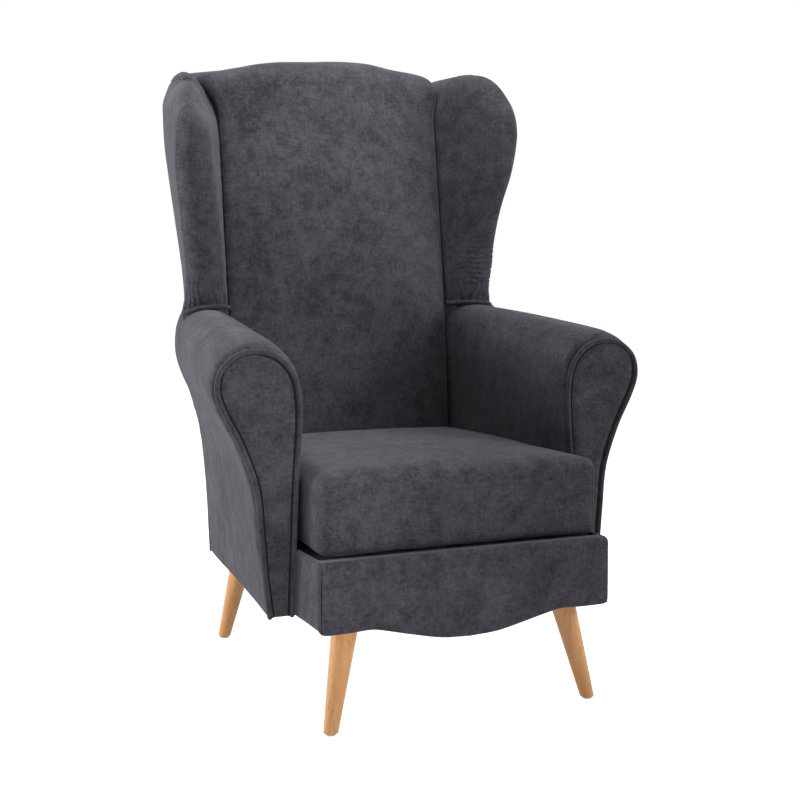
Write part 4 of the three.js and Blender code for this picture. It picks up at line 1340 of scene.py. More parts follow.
@dataclass
class Wings:
    """The two wings, their topstitching and the piping over the arms."""

    around: int = 116
    rear_points: int = 8
    along: int = 320
    samples: int = 900
    crowding: float = 1.7
    rear_drop: float = 0.014
    outer_round: float = 0.046
    outer_round_change: float = 0.020
    outer_rear_round: float = 0.034
    outer_top: Pair = (0.980, 0.080)
    outer_rear: Pair = (0.200, 0.120)
    inner_round: float = 0.036
    inner_round_change: float = 0.010
    right_top_round: float = 0.054
    right_top: Pair = (0.950, 0.070)
    foot_top: float = 0.700
    foot_height: float = 0.090
    slack: Ripple = Ripple(0.0009, 0.09, 21.0)
    sway: Ripple = Ripple(1.0, 0.02, 2.0)
    gather_sway: Ripple = Ripple(0.5, 0.015, 5.0)
    pleat_top: float = 0.650
    pleat_fade: float = 0.022
    pleat_depth: float = 0.0080
    pleat_pitch: float = 0.0105
    edge_band: Pair = (0.655, 0.735)
    edge_band_fade: float = 0.03
    edge_pull_depth: float = 0.0042
    edge_pull_pitch: float = 0.0098
    edge_pull_reach: float = 0.016
    right_edge_pull: float = 0.2
    gather_depth: float = 0.0028
    gather_pitch: float = 0.0075
    gather_reach: float = 0.006
    stitch_inset: float = 0.026
    stitch_sink: float = 0.0014
    stitch_width: float = 0.0022
    stitch_pitch: float = 0.0080
    stitch_length: float = 0.0046
    thread_radius: float = 0.0008
    piping_radius: float = 0.004
    piping_level: float = 0.6445
    piping_falls: Pair = (0.005, 0.012)
    piping_points: int = 60
    piping_arc: Pair = (-0.8, 0.66)
    right_piping_arc: Pair = (-0.8, 0.56)
    tail_step: Place = (0.0022, 0.0010, -0.0006)
    board_low: float = 0.6103
    board_high: float = 1.045
    board_thickness: float = 0.0178

    def __post_init__(self) -> None:
        """Trace the wing's front and top edge once."""
        top_z, steps, over = LINES.wing_top, 32, 4
        shares = [1 - (1 - index / steps) ** 1.6 for index in range(steps + 1)]
        heights = [mix(LINES.wing_bottom, top_z, share) for share in shares]
        self.line: list[Pair] = [(LINES.nose_y(z), z) for z in heights]
        rear = LINES.rear_y(top_z) - LINES.panel_depth - FITTED
        start = self.line[-1][0]
        self.line.extend((mix(start, rear, step / over), top_z) for step in range(1, over + 1))
        self.near_edge = KDTree(self.samples)
        for index in range(self.samples):
            y, z = along_points(self.line, index / (self.samples - 1))
            self.near_edge.insert((0, y, z), index)
        self.near_edge.balance()
        self.length = sum(math.dist(a, b) for a, b in zip(self.line, self.line[1:]))

    def ring(self, side: Side, share: float) -> list[Vector]:
        """Return the wing's ring on one chord from its edge to its rear.

        Args:
            side: The sitter's side.
            share: How far along the edge.

        Returns:
            The ring's points.
        """
        (edge_y, edge_z), (rear_y, rear_z) = self.chord(share)
        open_points = self.around - self.rear_points
        ring = []
        for index in range(open_points):
            across = 2 * index / (open_points - 1) - 1
            inward = abs(across) ** self.crowding
            y, z = mix(edge_y, rear_y, inward), mix(edge_z, rear_z, inward)
            ring.append(self.face_point(side, across, y, z))
        first, last = ring[0], ring[-1]
        steps = self.rear_points + 1
        ring.extend(last.lerp(first, index / steps) for index in range(1, steps))
        return [LINES.sagged(side.place(point), LINES.sag_start) for point in ring]

    def chord(self, share: float) -> tuple[Pair, Pair]:
        """Return the two ends, as y and z, of a line from the edge to the rear."""
        edge_y, edge_z = along_points(self.line, share)
        low, high = LINES.wing_bottom, LINES.wing_top - self.rear_drop
        rear_z = mix(low, high, held((edge_z - low) / (LINES.wing_top - low)) ** 1.05)
        return (edge_y, edge_z), (LINES.rear_y(rear_z) - LINES.panel_depth - FITTED, rear_z)

    def face_point(self, side: Side, across: float, y: float, z: float) -> Vector:
        """Return a point of the wing's skin, inner where across is below 0.

        Args:
            side: The sitter's side.
            across: From -1, inside, over the edge at 0 to 1, outside.
            y: The depth.
            z: The height.

        Returns:
            The point, as on the left.
        """
        nearest = self.near_edge.find((0, y, z))[2]
        inner, outer = LINES.wing_inner(side, y, z), LINES.wing_outer(y, z)
        middle, half = (inner + outer) / 2, (outer - inner) / 2
        low = eased((self.foot_top - z) / self.foot_height)
        if across < 0:
            radius = self.inner_round - self.inner_round_change * low
            if side is Side.RIGHT:
                radius += self.right_top_round * past(z, *self.right_top)
        else:
            high = past(z, *self.outer_top)
            radius = self.outer_round + self.outer_round_change * (high - low)
            radius += self.outer_rear_round * high * past(y, *self.outer_rear)
        thick = quarter_round(nearest, radius)
        return Vector((middle + math.copysign(half * thick, across), y, z))

    def pad(self, side: Side) -> bmesh.types.BMesh:
        """Return one wing's upholstery.

        Args:
            side: The sitter's side.

        Returns:
            The closed mesh.
        """
        bm = lofted(lambda share: self.ring(side, share), self.around, self.along)
        band_low, band_high = self.edge_band

        def lift(place: Vector, normal: Vector) -> float:
            """Return the cloth's unevenness at a place.

            Args:
                place: The point.
                normal: The skin's normal there.

            Returns:
                The move along the normal.
            """
            soft = self.slack.at(place, side.value)
            _, index, depth = self.near_edge.find((0, place.y, place.z))
            outside = normal.x * side.value > 0 and depth > 0.008
            sway = self.sway.at(place, side.value)
            around = place.x * side.value * 0.9 + place.y * 0.5
            foot = -self.pleat_depth * groove(around / self.pleat_pitch + 0.6 * sway)
            foot *= math.exp(-max(place.z - self.pleat_top, 0) / self.pleat_fade)
            band = past(place.z, band_low, self.edge_band_fade)
            band *= 1 - past(place.z, band_high, self.edge_band_fade)
            band *= 1.0 if side is Side.LEFT else self.right_edge_pull
            pull = groove(place.z / self.edge_pull_pitch + 0.4 * sway)
            edge = -self.edge_pull_depth * pull * band * math.exp(-depth / self.edge_pull_reach)
            if not outside:
                return soft + foot + edge
            off = abs(depth - self.stitch_inset)
            arc = index / self.samples * self.length
            gather = groove(arc / self.gather_pitch + self.gather_sway.at(place))
            gather *= self.gather_depth * math.exp(-off / self.gather_reach)
            seam = -self.stitch_sink * math.exp(-((off / self.stitch_width) ** 2))
            return soft + foot * 0.7 + edge + seam - gather

        return ruffled(bm, lift)

    def stitch_path(self, side: Side, count: int) -> list[Vector]:
        """Return the topstitching's path on the outer face, from foot to rear."""
        path = []
        for index in range(count):
            (y, z), (rear_y, rear_z) = self.chord(mix(0.09, 0.97, index / (count - 1)))
            into = Vector((rear_y - y, rear_z - z)).normalized() * self.stitch_inset
            point = self.face_point(side, 1, y + into.x, z + into.y)
            point = side.place(point + Vector((0.0002, 0, 0)))
            path.append(LINES.sagged(point, LINES.sag_start))
        return path

    def cord_path(self, side: Side) -> list[Vector]:
        """Return the level path of the cord round the wing's front, above the arm.

        Args:
            side: The sitter's side.

        Returns:
            The path's points, from the inner seam outwards.
        """
        left = side is Side.LEFT
        front_fall, rear_fall = self.piping_falls
        arc = self.piping_arc if left else self.right_piping_arc
        path = []
        for index in range(self.piping_points):
            share = index / (self.piping_points - 1)
            z = self.piping_level - front_fall * (1 - share) ** 3 - rear_fall * share**3
            angle = mix(*arc, share) * math.pi / 2
            radius = self.inner_round if angle < 0 else self.outer_round - 0.008
            y = LINES.nose_y(z) + radius * (1 - math.cos(angle))
            inner, outer = LINES.wing_inner(side, y, z), LINES.wing_outer(y, z)
            x = mix(inner, outer, 0.5 + 0.5 * math.sin(angle))
            clear = self.piping_radius * 0.9
            path.append(Vector((x + clear * math.sin(angle), y - clear * math.cos(angle), z)))
        first, seam = path[0], LINES.seam_y(path[0].z) - 0.004
        behind = [mix(seam, first.y, step / 6) for step in range(6)]
        path[:0] = [
            Vector((LINES.wing_inner(side, y, first.z) - 0.4 * self.piping_radius, y, first.z))
            for y in behind
        ]
        end, step = path[-1], Vector(self.tail_step)
        path.extend(end + step * count for count in range(1, 4 if left else 2))
        return [side.place(point) for point in path]

    def build(self, palette: Palette) -> None:
        """Make both wings with their piping.

        Args:
            palette: The finishes.
        """
        for side in Side:
            wing = piece_from(
                f"{side.label}_wing_upholstery", self.pad(side), palette.cloth,
                [f"{side.label}_wing_pad"],
            )
            piece_from(
                f"{side.label}_wing_cord", tube(self.cord_path(side), self.piping_radius),
                palette.piping, [f"{side.label}_wing_piping"],
            )
            stitches = stitch_row(
                self.stitch_path(side, 400), self.stitch_pitch, self.stitch_length,
                self.thread_radius,
            )
            piece_from(f"{side.label}_wing_topstitch", stitches, palette.stitch)
            piece_from(
                f"{side.label}_wing_panel", self.board(side), palette.frame_wood,
                [f"{side.label}_wing_board"], math.radians(40),
            )

    def board(self, side: Side) -> bmesh.types.BMesh:
        """Return the wing's board, eased off at its outer top edge.

        Args:
            side: The sitter's side.

        Returns:
            The closed mesh.
        """

        def place(cube: Vector) -> Vector:
            """Return the board's point for a point of the cube."""
            z = mix(self.board_low, self.board_high, (cube.z + 1) / 2)
            near, far = LINES.nose_y(z) + 0.045, LINES.rear_y(z) - 0.0115
            y = mix(near, far, (cube.y + 1) / 2)
            full = LINES.wing_outer(y, z) - 0.0067
            x = full - self.board_thickness
            if cube.x > 0:
                x = min(full, self.face_point(side, 1, y, z).x - 0.005)
            return LINES.sagged(side.place(Vector((x, y, z))), LINES.sag_start)

        return shaped((1, 10, 28), place)


@dataclass
class Back:
    """The inside back, and the outside back panel behind it."""

    crown: float = 0.021
    low_crown: float = 0.55
    edge_round: float = 0.016
    top_round_depth: float = 0.062
    top_round_height: float = 0.050
    front_points: int = 58
    top_points: int = 14
    crest_points: int = 6
    rear_points: int = 26
    stations: int = 64
    slack: Ripple = Ripple(0.0016, 0.13, 15.0)
    folds: Ripple = Ripple(0.0012, 0.03, 4.0)
    fold_reach: float = 0.03
    seam_foot: float = 0.405
    # Radius of the near-black tubes that paint the shadow in the seams beside the wings.
    seam_shade_radius: float = 0.0021
    panel_points: int = 88
    panel_levels: int = 96
    panel_crowding: float = 1.6
    panel_round: float = 0.004
    panel_half: float = 0.302
    panel_slack: Ripple = Ripple(0.0008, 0.12, 31.0)
    seat_half: float = 0.2257
    seat_top: float = 0.47
    shoulder_reach: float = 0.038
    corner_start: float = 0.2595
    corner_reach: float = 0.0425
    corner_drop: float = 0.100

    def station(self, share: float) -> float:
        """Return the x of a station, closer together near the sides."""
        return math.sin((share - 0.5) * math.pi) * (LINES.back_half - FITTED)

    def ring(self, share: float) -> list[Vector]:
        """Return the back's profile at one station across it."""
        return self.profile(self.station(share))

    def seam_path(self, side: Side) -> list[Vector]:
        """Return the path of the painted seam shadow beside a wing, up and over the top."""
        rows = self.front_points + self.top_points
        inset = 0.0012 if side is Side.LEFT else 0.0030
        front = self.profile(side.value * (LINES.back_half - FITTED - inset))[:rows]
        return [point for point in front if point.z > self.seam_foot]

    def profile(self, x: float) -> list[Vector]:
        """Return the back's closed profile at a place across it.

        Args:
            x: The distance from the middle.

        Returns:
            The profile's points, from its foot up.
        """
        half = LINES.back_half - FITTED
        across = x / half
        nearer = Side.LEFT if x > 0 else Side.RIGHT

        def at(y: float, z: float) -> Vector:
            """Return a point of the profile, moved out with the shoulders."""
            return Vector((x + across * LINES.shoulder(nearer, z), y, z))

        crest = LINES.crest_z(x)
        bend = crest - self.top_round_height
        edge = self.edge_round * (1 - quarter_round(half - abs(x), self.edge_round))
        low = LINES.back_bottom

        def front(z: float, angle: float) -> float:
            """Return the depth of the front face."""
            rise = min((z - low) / (LINES.wing_bottom - low), 1)
            crown = self.crown * mix(self.low_crown, 1, rise) * (1 - abs(across) ** 3)
            turn = self.top_round_depth * (1 - math.cos(angle))
            return LINES.seam_y(min(z, bend)) - crown + edge + turn

        ring = []
        for index in range(self.front_points):
            z = mix(low, bend, index / self.front_points)
            ring.append(at(front(z, 0.0), z))
        for index in range(self.top_points):
            angle = index / (self.top_points - 1) * math.pi / 2
            z = bend + self.top_round_height * math.sin(angle)
            ring.append(at(front(z, angle), z))
        over = ring[-1].y
        wall = LINES.panel_depth + FITTED
        rear = LINES.rear_y(crest) - wall
        for index in range(1, self.crest_points + 1):
            ring.append(at(mix(over, rear, index / self.crest_points), crest))
        for index in range(1, self.rear_points + 1):
            z = mix(crest, low, index / self.rear_points)
            ring.append(at(LINES.rear_y(z) - wall, z))
        return ring

    def pad(self) -> bmesh.types.BMesh:
        """Return the inside back's upholstery.

        Returns:
            The closed mesh.
        """
        around = self.front_points + self.top_points + self.crest_points + self.rear_points
        bm = lofted(self.ring, around, self.stations)

        def lift(place: Vector, normal: Vector) -> float:
            """Return the cloth's unevenness at a place."""
            if normal.y > 0.5:
                return 0.0
            near = LINES.back_half - abs(place.x)
            pull = math.exp(-near / self.fold_reach) * eased(near / 0.012)
            drawn = Vector((place.x * 0.5, 0, place.z))
            return self.slack.at(place) + pull * self.folds.at(drawn)

        return ruffled(bm, lift)

    def half_width(self, z: float) -> float:
        """Return the outside back's half width at a height.

        Args:
            z: The height.

        Returns:
            The half width.
        """
        widths = [self.seat_half if z < self.seat_top else LINES.back_half]
        if z < LINES.arm_rear_top:
            far = LINES.rear_y(z) - LINES.panel_depth
            outline = [LINES.arm_point(far, 0.5 + index / 160) for index in range(81)]
            nearest = min(outline, key=lambda pair: abs(pair[1] - z))
            widths.append(nearest[0] + 0.003 * eased((z - 0.25) / 0.2))
        if z > LINES.wing_bottom:
            widths.append(LINES.wing_outer(LINES.rear_y(z), z))
        return max(widths)

    def top_of(self, share: float) -> float:
        """Return the height of the outside back's top at a share of its half width."""
        x = share * self.panel_half
        if abs(x) < LINES.back_half:
            return LINES.crest_z(x)
        rise = math.sin(held((abs(x) - LINES.back_half) / self.shoulder_reach) * math.pi / 2)
        fall = held((abs(x) - self.corner_start) / self.corner_reach)
        drop = self.corner_drop * (1 - math.sqrt(1 - fall * fall))
        return mix(LINES.crest_z(x), LINES.wing_top - 0.002, rise) - drop

    def outside(self) -> bmesh.types.BMesh:
        """Return the outside back panel, which also closes the arms and wings.

        Returns:
            The closed mesh.
        """
        low = LINES.arm_bottom - 0.002
        radius = self.panel_round
        per_face = self.panel_points // 2

        def ring(share: float) -> list[Vector]:
            """Return the panel's ring at one level.

            Args:
                share: How far up.

            Returns:
                The ring's points.
            """
            points = []
            for index in range(self.panel_points):
                front = index < per_face
                across = (index % per_face) / (per_face - 1) * 2 - 1
                across = across if front else -across
                bent = math.copysign(1 - (1 - abs(across)) ** self.panel_crowding, across)
                z = mix(low, self.top_of(bent), share)
                half = self.half_width(z)
                x = bent * half
                edge = radius * (1 - quarter_round(half - abs(x), radius))
                edge = max(edge, radius * (1 - quarter_round((1 - share) * 0.9, radius)))
                depth = LINES.panel_depth if front else 0.0
                y = LINES.rear_y(z) - depth - (0 if front else edge)
                points.append(LINES.sagged(Vector((x, y, z)), LINES.back_half))
            return points

        bm = lofted(ring, self.panel_points, self.panel_levels)

        def lift(place: Vector, normal: Vector) -> float:
            """Return the cloth's unevenness at a place."""
            return self.panel_slack.at(place) if normal.y >= 0.7 else 0.0

        return ruffled(bm, lift)

    def build(self, palette: Palette) -> None:
        """Make the inside and the outside back.

        Args:
            palette: The finishes.
        """
        inside = piece_from(
            "inside_back_upholstery", self.pad(), palette.cloth, ["inside_back_pad"]
        )
        outside = piece_from(
            "outside_back_cloth", self.outside(), palette.cloth,
            ["outside_back_panel"], math.radians(50),
        )
        # Near-black tubes along the seams beside the wings: painted seam shadow.
        seams = [tube(self.seam_path(side), self.seam_shade_radius, SEAM_SHADE_SIDES) for side in Side]
        piece_from("back_seam_shade_lines", joined(seams), palette.seam)


@dataclass
class SeatBorder:
    """The padded border over the front rail, with its serpentine lower edge."""

    half: float = 0.2545
    inner_half: float = 0.2463
    lip_half: float = 0.2450
    lip_y: float = -0.3300
    rear_y: float = -0.2433
    top: float = 0.275
    bottom: float = 0.163
    drop: float = 0.027
    corner: float = 0.008
    edge: float = 0.006
    inner_y: float = -0.3415
    ear: float = 0.007
    ear_width: float = 0.011
    side_share: float = 0.14
    turn_share: float = 0.22
    outer_steps: int = 26
    inner_steps: int = 10
    across: int = 132
    seam_share: float = 0.190
    seam_shade_radius: float = 0.0012
    slack: Ripple = Ripple(0.0009, 0.08, 41.0)
    apron: Curve = Curve(
        ((0, 1), (0.2, 0.89), (0.4, 0.48), (0.56, 0.13), (0.66, -0.04), (0.8, 0), (1, 0))
    )

    def plan(self, share: float, half: float, near: float, radius: float) -> Pair:
        """Return a place, as x and y, along the border from arm to arm.

        Args:
            share: How far along.
            half: The half width.
            near: The depth of the front.
            radius: The corners' radius.

        Returns:
            The place.
        """
        side, corner = self.side_share, self.turn_share
        along = 1 - share if share > 0.5 else share
        sign = 1 if share > 0.5 else -1
        if along <= side:
            return sign * half, mix(self.rear_y, near + radius, along / side)
        if along <= corner:
            angle = (along - side) / (corner - side) * math.pi / 2
            return (
                sign * (half - radius + radius * math.cos(angle)),
                near + radius - radius * math.sin(angle),
            )
        return sign * mix(half - radius, 0, (along - corner) / (0.5 - corner)), near

    def low_z(self, share: float) -> float:
        """Return the height of the lower edge at a place along the border."""
        x, _ = self.plan(share, self.half, LINES.front_y, self.corner)
        lower = self.bottom - self.drop * self.apron(min(abs(x) / self.half, 1))
        return lower + self.ear * (1 - quarter_round(self.half - abs(x), self.ear_width))

    def ring(self, share: float) -> list[Vector]:
        """Return the border's section at a place along it.

        Args:
            share: How far along.

        Returns:
            The section's points.
        """
        low, high = self.low_z(share), self.top
        ring = []
        for index in range(self.outer_steps):
            rise = 0.5 - 0.5 * math.cos(math.pi * index / (self.outer_steps - 1))
            z = mix(low, high, rise)
            near_top = self.edge * (1 - quarter_round(high - z, 0.009))
            near_low = 0.5 * self.edge * (1 - quarter_round(z - low, 0.005))
            inset = near_top + near_low
            x, y = self.plan(share, self.half - inset, LINES.front_y + inset, self.corner)
            ring.append(Vector((x, y, z)))
        lip = self.plan(share, self.lip_half, self.lip_y, 0.002)
        ring.extend((Vector((*lip, high - 0.0002)), Vector((*lip, high - 0.0011))))
        for index in range(self.inner_steps):
            z = mix(high - 0.0011, low, index / (self.inner_steps - 1))
            x, y = self.plan(share, self.inner_half, self.inner_y, 0.0003)
            ring.append(Vector((x, y, z)))
        return ring

    def build(self, palette: Palette) -> None:
        """Make the border with near-black tubes of painted seam shadow at its corners.

        Args:
            palette: The finishes.
        """
        bm = lofted(self.ring, self.outer_steps + 2 + self.inner_steps, self.across)

        def lift(place: Vector, normal: Vector) -> float:
            """Return the cloth's unevenness at a place."""
            return self.slack.at(place) if normal.y < 0.3 else 0.0

        border = piece_from(
            "front_border_cloth", ruffled(bm, lift), palette.cloth, ["front_border"]
        )
        # Near-black tubes down the corners: painted shadow in the seam creases.
        seams = []
        for share in (self.seam_share, 1 - self.seam_share):
            low, high = self.low_z(share) + 0.001, self.top - 0.009
            x, y = self.plan(share, self.half, LINES.front_y, self.corner)
            inward = Vector((-math.copysign(0.0009, x), 0.0004, 0))
            path = [Vector((x, y, mix(low, high, index / 24))) + inward for index in range(25)]
            seams.append(tube(path, self.seam_shade_radius, SEAM_SHADE_SIDES))
        piece_from("border_corner_seam_shades", joined(seams), palette.seam)


@dataclass
class Cushion:
    """The loose seat cushion: cover, foam core and zip."""

    front_y: float = -0.3335
    rear_y: float = 0.1641
    low: float = 0.274
    height: float = 0.128
    crown: float = 0.017
    half_front: float = 0.248
    half_rear: float = 0.225
    side_draw: float = 0.005
    cuts: tuple[int, int, int] = (56, 56, 16)
    plan_round: float = 0.026
    top_round: float = 0.026
    low_round: float = 0.010
    tight_round: float = 0.012
    cover_inset: float = 0.0015
    core_inset: float = 0.0098
    waist: float = 0.0035
    stuffing: Stuffing = Stuffing(reach=0.0035, slack=0.01)
    # Near-black tubes along the side panels' seams paint the shadow in their creases.
    side_seam_shades: tuple[tuple[Side, float, float], ...] = (
        (Side.LEFT, 0.002, 0.0011), (Side.RIGHT, 0.019, 0.0008),
    )
    tooth: Place = (0.0021, 0.0006, 0.0034)
    teeth: int = 94
    zip_half: float = 0.186
    tape_half: Pair = (0.19, 0.011)

    def half_width(self, y: float) -> float:
        """Return the cushion's half width at a depth."""
        share = held((y - self.front_y) / (self.rear_y - self.front_y))
        waist = self.half_front - self.side_draw * math.sin(math.pi * min(share * 1.4, 1))
        return mix(waist, self.half_rear, share**1.3)

    def place(self, cube: Vector, shrink: float) -> Vector:
        """Return the cushion's point for a point of the cube.

        Args:
            cube: The point of a cube from -1 to 1.
            shrink: How far inside the cover's skin.

        Returns:
            The cushion's point.
        """
        depth = (self.rear_y - self.front_y) / 2 - shrink
        half = Vector((self.half_front - shrink, depth, self.height / 2 - shrink))
        top = cube.z > 0
        tight = eased((cube.x - 0.45) / 0.5) * eased((-cube.y - 0.3) / 0.5)
        plan = mix(self.plan_round, self.tight_round, tight)
        rounding = Vector((plan, plan, self.top_round if top else self.low_round))
        raw = Vector((cube.x * half.x, cube.y * half.y, cube.z * half.z))
        core = Vector([
            held(raw[i], rounding[i] - half[i], half[i] - rounding[i]) for i in range(3)
        ])
        away = Vector([(raw[i] - core[i]) / rounding[i] for i in range(3)])
        if away.length > 0:
            away.normalize()
        point = core + away * rounding
        across, along = point.x / half.x, point.y / half.y
        y = (self.front_y + self.rear_y) / 2 + point.y
        width = (self.half_width(y) - shrink) / half.x
        level = (point.z / half.z + 1) / 2
        bulge = (1 - abs(across) ** 2.4) * (1 - abs(along) ** 2.6)
        z = self.low + self.height / 2 + point.z + self.crown * bulge * level**3
        if along < -0.9:
            waist = self.waist * math.sin(math.pi * held(level))
            y -= waist * (1 - abs(across) ** 4) * 0.4
        return Vector((point.x * width, y, z))

    def build(self, palette: Palette) -> None:
        """Make the cushion.

        Args:
            palette: The finishes.
        """
        bm = shaped(self.cuts, lambda cube: self.place(cube, self.cover_inset))
        cover = piece_from(
            "seat_cushion_case", bm, palette.cloth, ["seat_cushion_cover"]
        )
        self.stuffing.fill(cover)
        self.settle(cover)
        core = shaped((20, 20, 6), lambda cube: self.place(cube, self.core_inset))
        foam = piece_from(
            "seat_cushion_filling", core, palette.foam, ["seat_cushion_core"]
        )
        self.seams(cover, palette)
        self.zip(palette)

    def settle(self, cover: bpy.types.Object) -> None:
        """Keep the cover above the deck and in front of the back."""
        for vert in cover.data.vertices:
            vert.co.z = max(vert.co.z, self.low)
            vert.co.y = min(vert.co.y, self.rear_y)
            limit = self.half_width(vert.co.y) + 0.001
            vert.co.x = held(vert.co.x, -limit, limit)
        cover.data.update()

    def seams(self, cover: bpy.types.Object, palette: Palette) -> None:
        """Sink near-black tubes into the cover along the side panels' seams, as painted seam
        shadow.

        Args:
            cover: The finished cover.
            palette: The finishes.
        """
        tree = BVHTree.FromPolygons(
            [vert.co for vert in cover.data.vertices],
            [tuple(polygon.vertices) for polygon in cover.data.polygons],
        )
        threads = []
        for side, inward, radius in self.side_seam_shades:
            path = []
            for index in range(61):
                z = mix(self.low + 0.006, self.low + self.height - 0.012, index / 60)
                corner = Vector((self.half_front - inward, self.front_y - 0.01, z))
                place, normal, *_ = tree.find_nearest(side.place(corner))
                path.append(place - normal * 0.0006)
            threads.append(tube(path, radius, SEAM_SHADE_SIDES))
        piece_from("cushion_side_seam_shades", joined(threads), palette.seam)

    def zip(self, palette: Palette) -> None:
        """Make the zip in the cushion's rear edge.

        Args:
            palette: The finishes.
        """
        far = self.rear_y - 0.0053
        middle = self.low + self.height / 2

        half_x, half_z = self.tape_half
        deep = self.tooth[1]

        def tape(cube: Vector) -> Vector:
            """Return a point of the zip's flat tape."""
            depth = deep if cube.y < 0 else 0.0
            return Vector((cube.x * half_x, far - deep - depth, middle + cube.z * half_z))

        parts = [shaped((24, 1, 4), tape)]
        for index in range(self.teeth):
            tooth = bmesh.new()
            bmesh.ops.create_cube(tooth, size=1)
            x = mix(-self.zip_half, self.zip_half, index / (self.teeth - 1))
            offset = 0.0007 if index % 2 else -0.0007
            spot = Matrix.Translation((x, far - deep / 2, middle + offset))
            size = Matrix.Diagonal((*self.tooth, 1))
            bmesh.ops.transform(tooth, matrix=spot @ size, verts=tooth.verts)
            parts.append(tooth)
        piece_from(
            "seat_cushion_fastener", joined(parts), palette.black_cloth,
            ["seat_cushion_zip"], math.radians(30),
        )


@dataclass
class HiddenCloth:
    """The deck over the springs, the dust cover below and the back's webbing."""

    deck_taper: float = 0.021
    deck_puff: float = 0.003
    deck_channels: int = 3
    cover_taper: float = 0.019
    cover_thickness: float = 0.0006
    cover_sag: float = 0.006
    cover_ripple: Ripple = Ripple(0.0006, 0.3, 6.0)
    strap_thickness: float = 0.0014
    straps: int = 2

    def build(self, palette: Palette) -> None:
        """Make the deck, the dust cover and the straps."""
        self.deck(palette)
        self.dust(palette)
        for number in range(1, self.straps + 1):
            self.strap(palette, number)

    def deck(self, palette: Palette) -> None:
        """Make the stitched deck pad.

        Args:
            palette: The finishes.
        """
        low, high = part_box("seat_deck")

        def place(cube: Vector) -> Vector:
            """Return the deck's point for a point of the cube."""
            along = (cube.y + 1) / 2
            half = mix(high.x, high.x - self.deck_taper, along)
            channels = abs(math.sin(cube.x * math.pi * self.deck_channels)) ** 0.4
            crown = quarter_round((1 - abs(cube.x)) * half, 0.006)
            z = high.z - self.deck_puff * (1 - channels * crown) if cube.z > 0 else low.z
            return Vector((cube.x * half, mix(low.y, high.y, along), z))

        deck = piece_from(
            "seat_deck_pad", shaped((72, 24, 1), place), palette.black_cloth,
            ["seat_deck"],
        )

    def dust(self, palette: Palette) -> None:
        """Make the thin cloth that closes the seat from below.

        Args:
            palette: The finishes.
        """
        low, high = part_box("dust_cover")
        bm = bmesh.new()
        bmesh.ops.create_grid(bm, x_segments=40, y_segments=44, size=1)
        for vert in bm.verts:
            along = (vert.co.y + 1) / 2
            y = mix(low.y, high.y, along)
            half = mix(high.x, high.x - self.cover_taper, along)
            held_in = (1 - vert.co.x**4) * (1 - vert.co.y**4)
            ripple = self.cover_ripple.at(Vector((vert.co.x, vert.co.y, 0)))
            z = high.z - self.cover_thickness - (self.cover_sag - ripple) * held_in
            vert.co = Vector((vert.co.x * half, y, z))
        bmesh.ops.recalc_face_normals(bm, faces=bm.faces)
        bmesh.ops.solidify(bm, geom=bm.faces[:], thickness=self.cover_thickness)
        sheet = piece_from(
            "dust_cover_cloth", bm, palette.black_cloth, ["dust_cover"],
            math.radians(40),
        )

    def strap(self, palette: Palette, number: int) -> None:
        """Make one band of webbing across the back.

        Args:
            palette: The finishes.
            number: Which strap, counted from below.
        """
        node = f"back_strap_{number}"
        low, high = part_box(node)

        def place(cube: Vector) -> Vector:
            """Return the strap's point for a point of the cube."""
            z = mix(low.z, high.z, (cube.z + 1) / 2)
            y = mix(low.y, high.y, (cube.z + 1) / 2)
            hollow = 0.0 if cube.y < 0 else self.strap_thickness
            return Vector((cube.x * high.x, y - hollow, z))

        piece_from(
            f"webbing_band_{number}", shaped((40, 1, 12), place), palette.webbing,
            [node], math.radians(40),
        )


class End(Enum):
    """The front and the rear of the seat."""

    FRONT = "front"
    REAR = "rear"


@dataclass(frozen=True)
class LegAxis:
    """Where a left-hand leg's axis meets the floor, and its lean per metre."""

    end: End
    x: float
    y: float
    lean_x: float
    lean_y: float

    def at(self, z: float) -> Vector:
        """Return the axis' point at a height."""
        return Vector((self.x + self.lean_x * z, self.y + self.lean_y * z, z))


@dataclass
class Legs:
    """The four splayed, tapered legs."""

    top_z: float = 0.1649
    foot_radius: float = 0.0118
    top_radius: float = 0.0216
    foot_z: float = 0.0033
    chamfer: float = 0.0016
    around: int = 40
    levels: int = 12
    axes: tuple[LegAxis, ...] = (
        LegAxis(End.FRONT, 0.229, -0.3315, -0.2190, 0.1607),
        LegAxis(End.REAR, 0.216, 0.2805, -0.1768, -0.2232),
    )

    def ring(self, side: Side, axis: LegAxis, share: float) -> list[Vector]:
        """Return the circle at a share of a leg's height.

        Args:
            side: The sitter's side.
            axis: The leg's axis.
            share: How far up.

        Returns:
            The circle's points.
        """
        z = self.foot_z + (self.top_z - self.foot_z) * share
        radius = mix(self.foot_radius, self.top_radius, share)
        near = min(z - self.foot_z, self.top_z - z)
        radius -= self.chamfer * (1 - quarter_round(near, self.chamfer))
        centre = axis.at(z)
        turn = 2 * math.pi / self.around
        return [
            side.place(centre + Vector((math.cos(turn * i), math.sin(turn * i), 0)) * radius)
            for i in range(self.around)
        ]

    def build(self, palette: Palette) -> None:
        """Make the legs.

        Args:
            palette: The finishes.
        """
        height = self.top_z - self.foot_z
        low = [stop * self.chamfer / height for stop in (0, 0.25, 0.5, 0.8, 1.3)]
        middle = [index / self.levels for index in range(1, self.levels)]
        levels = [*low, *middle, *(1 - share for share in reversed(low))]
        last = len(levels) - 1
        for side in Side:
            for axis in self.axes:
                bm = lofted(
                    lambda share: self.ring(side, axis, levels[round(share * last)]),
                    self.around, last,
                )
                label = f"{side.label}_{axis.end.value}"
                piece_from(
                    f"{label}_turned_leg", bm, palette.beech, [f"{label}_leg"],
                    math.radians(60),
                )


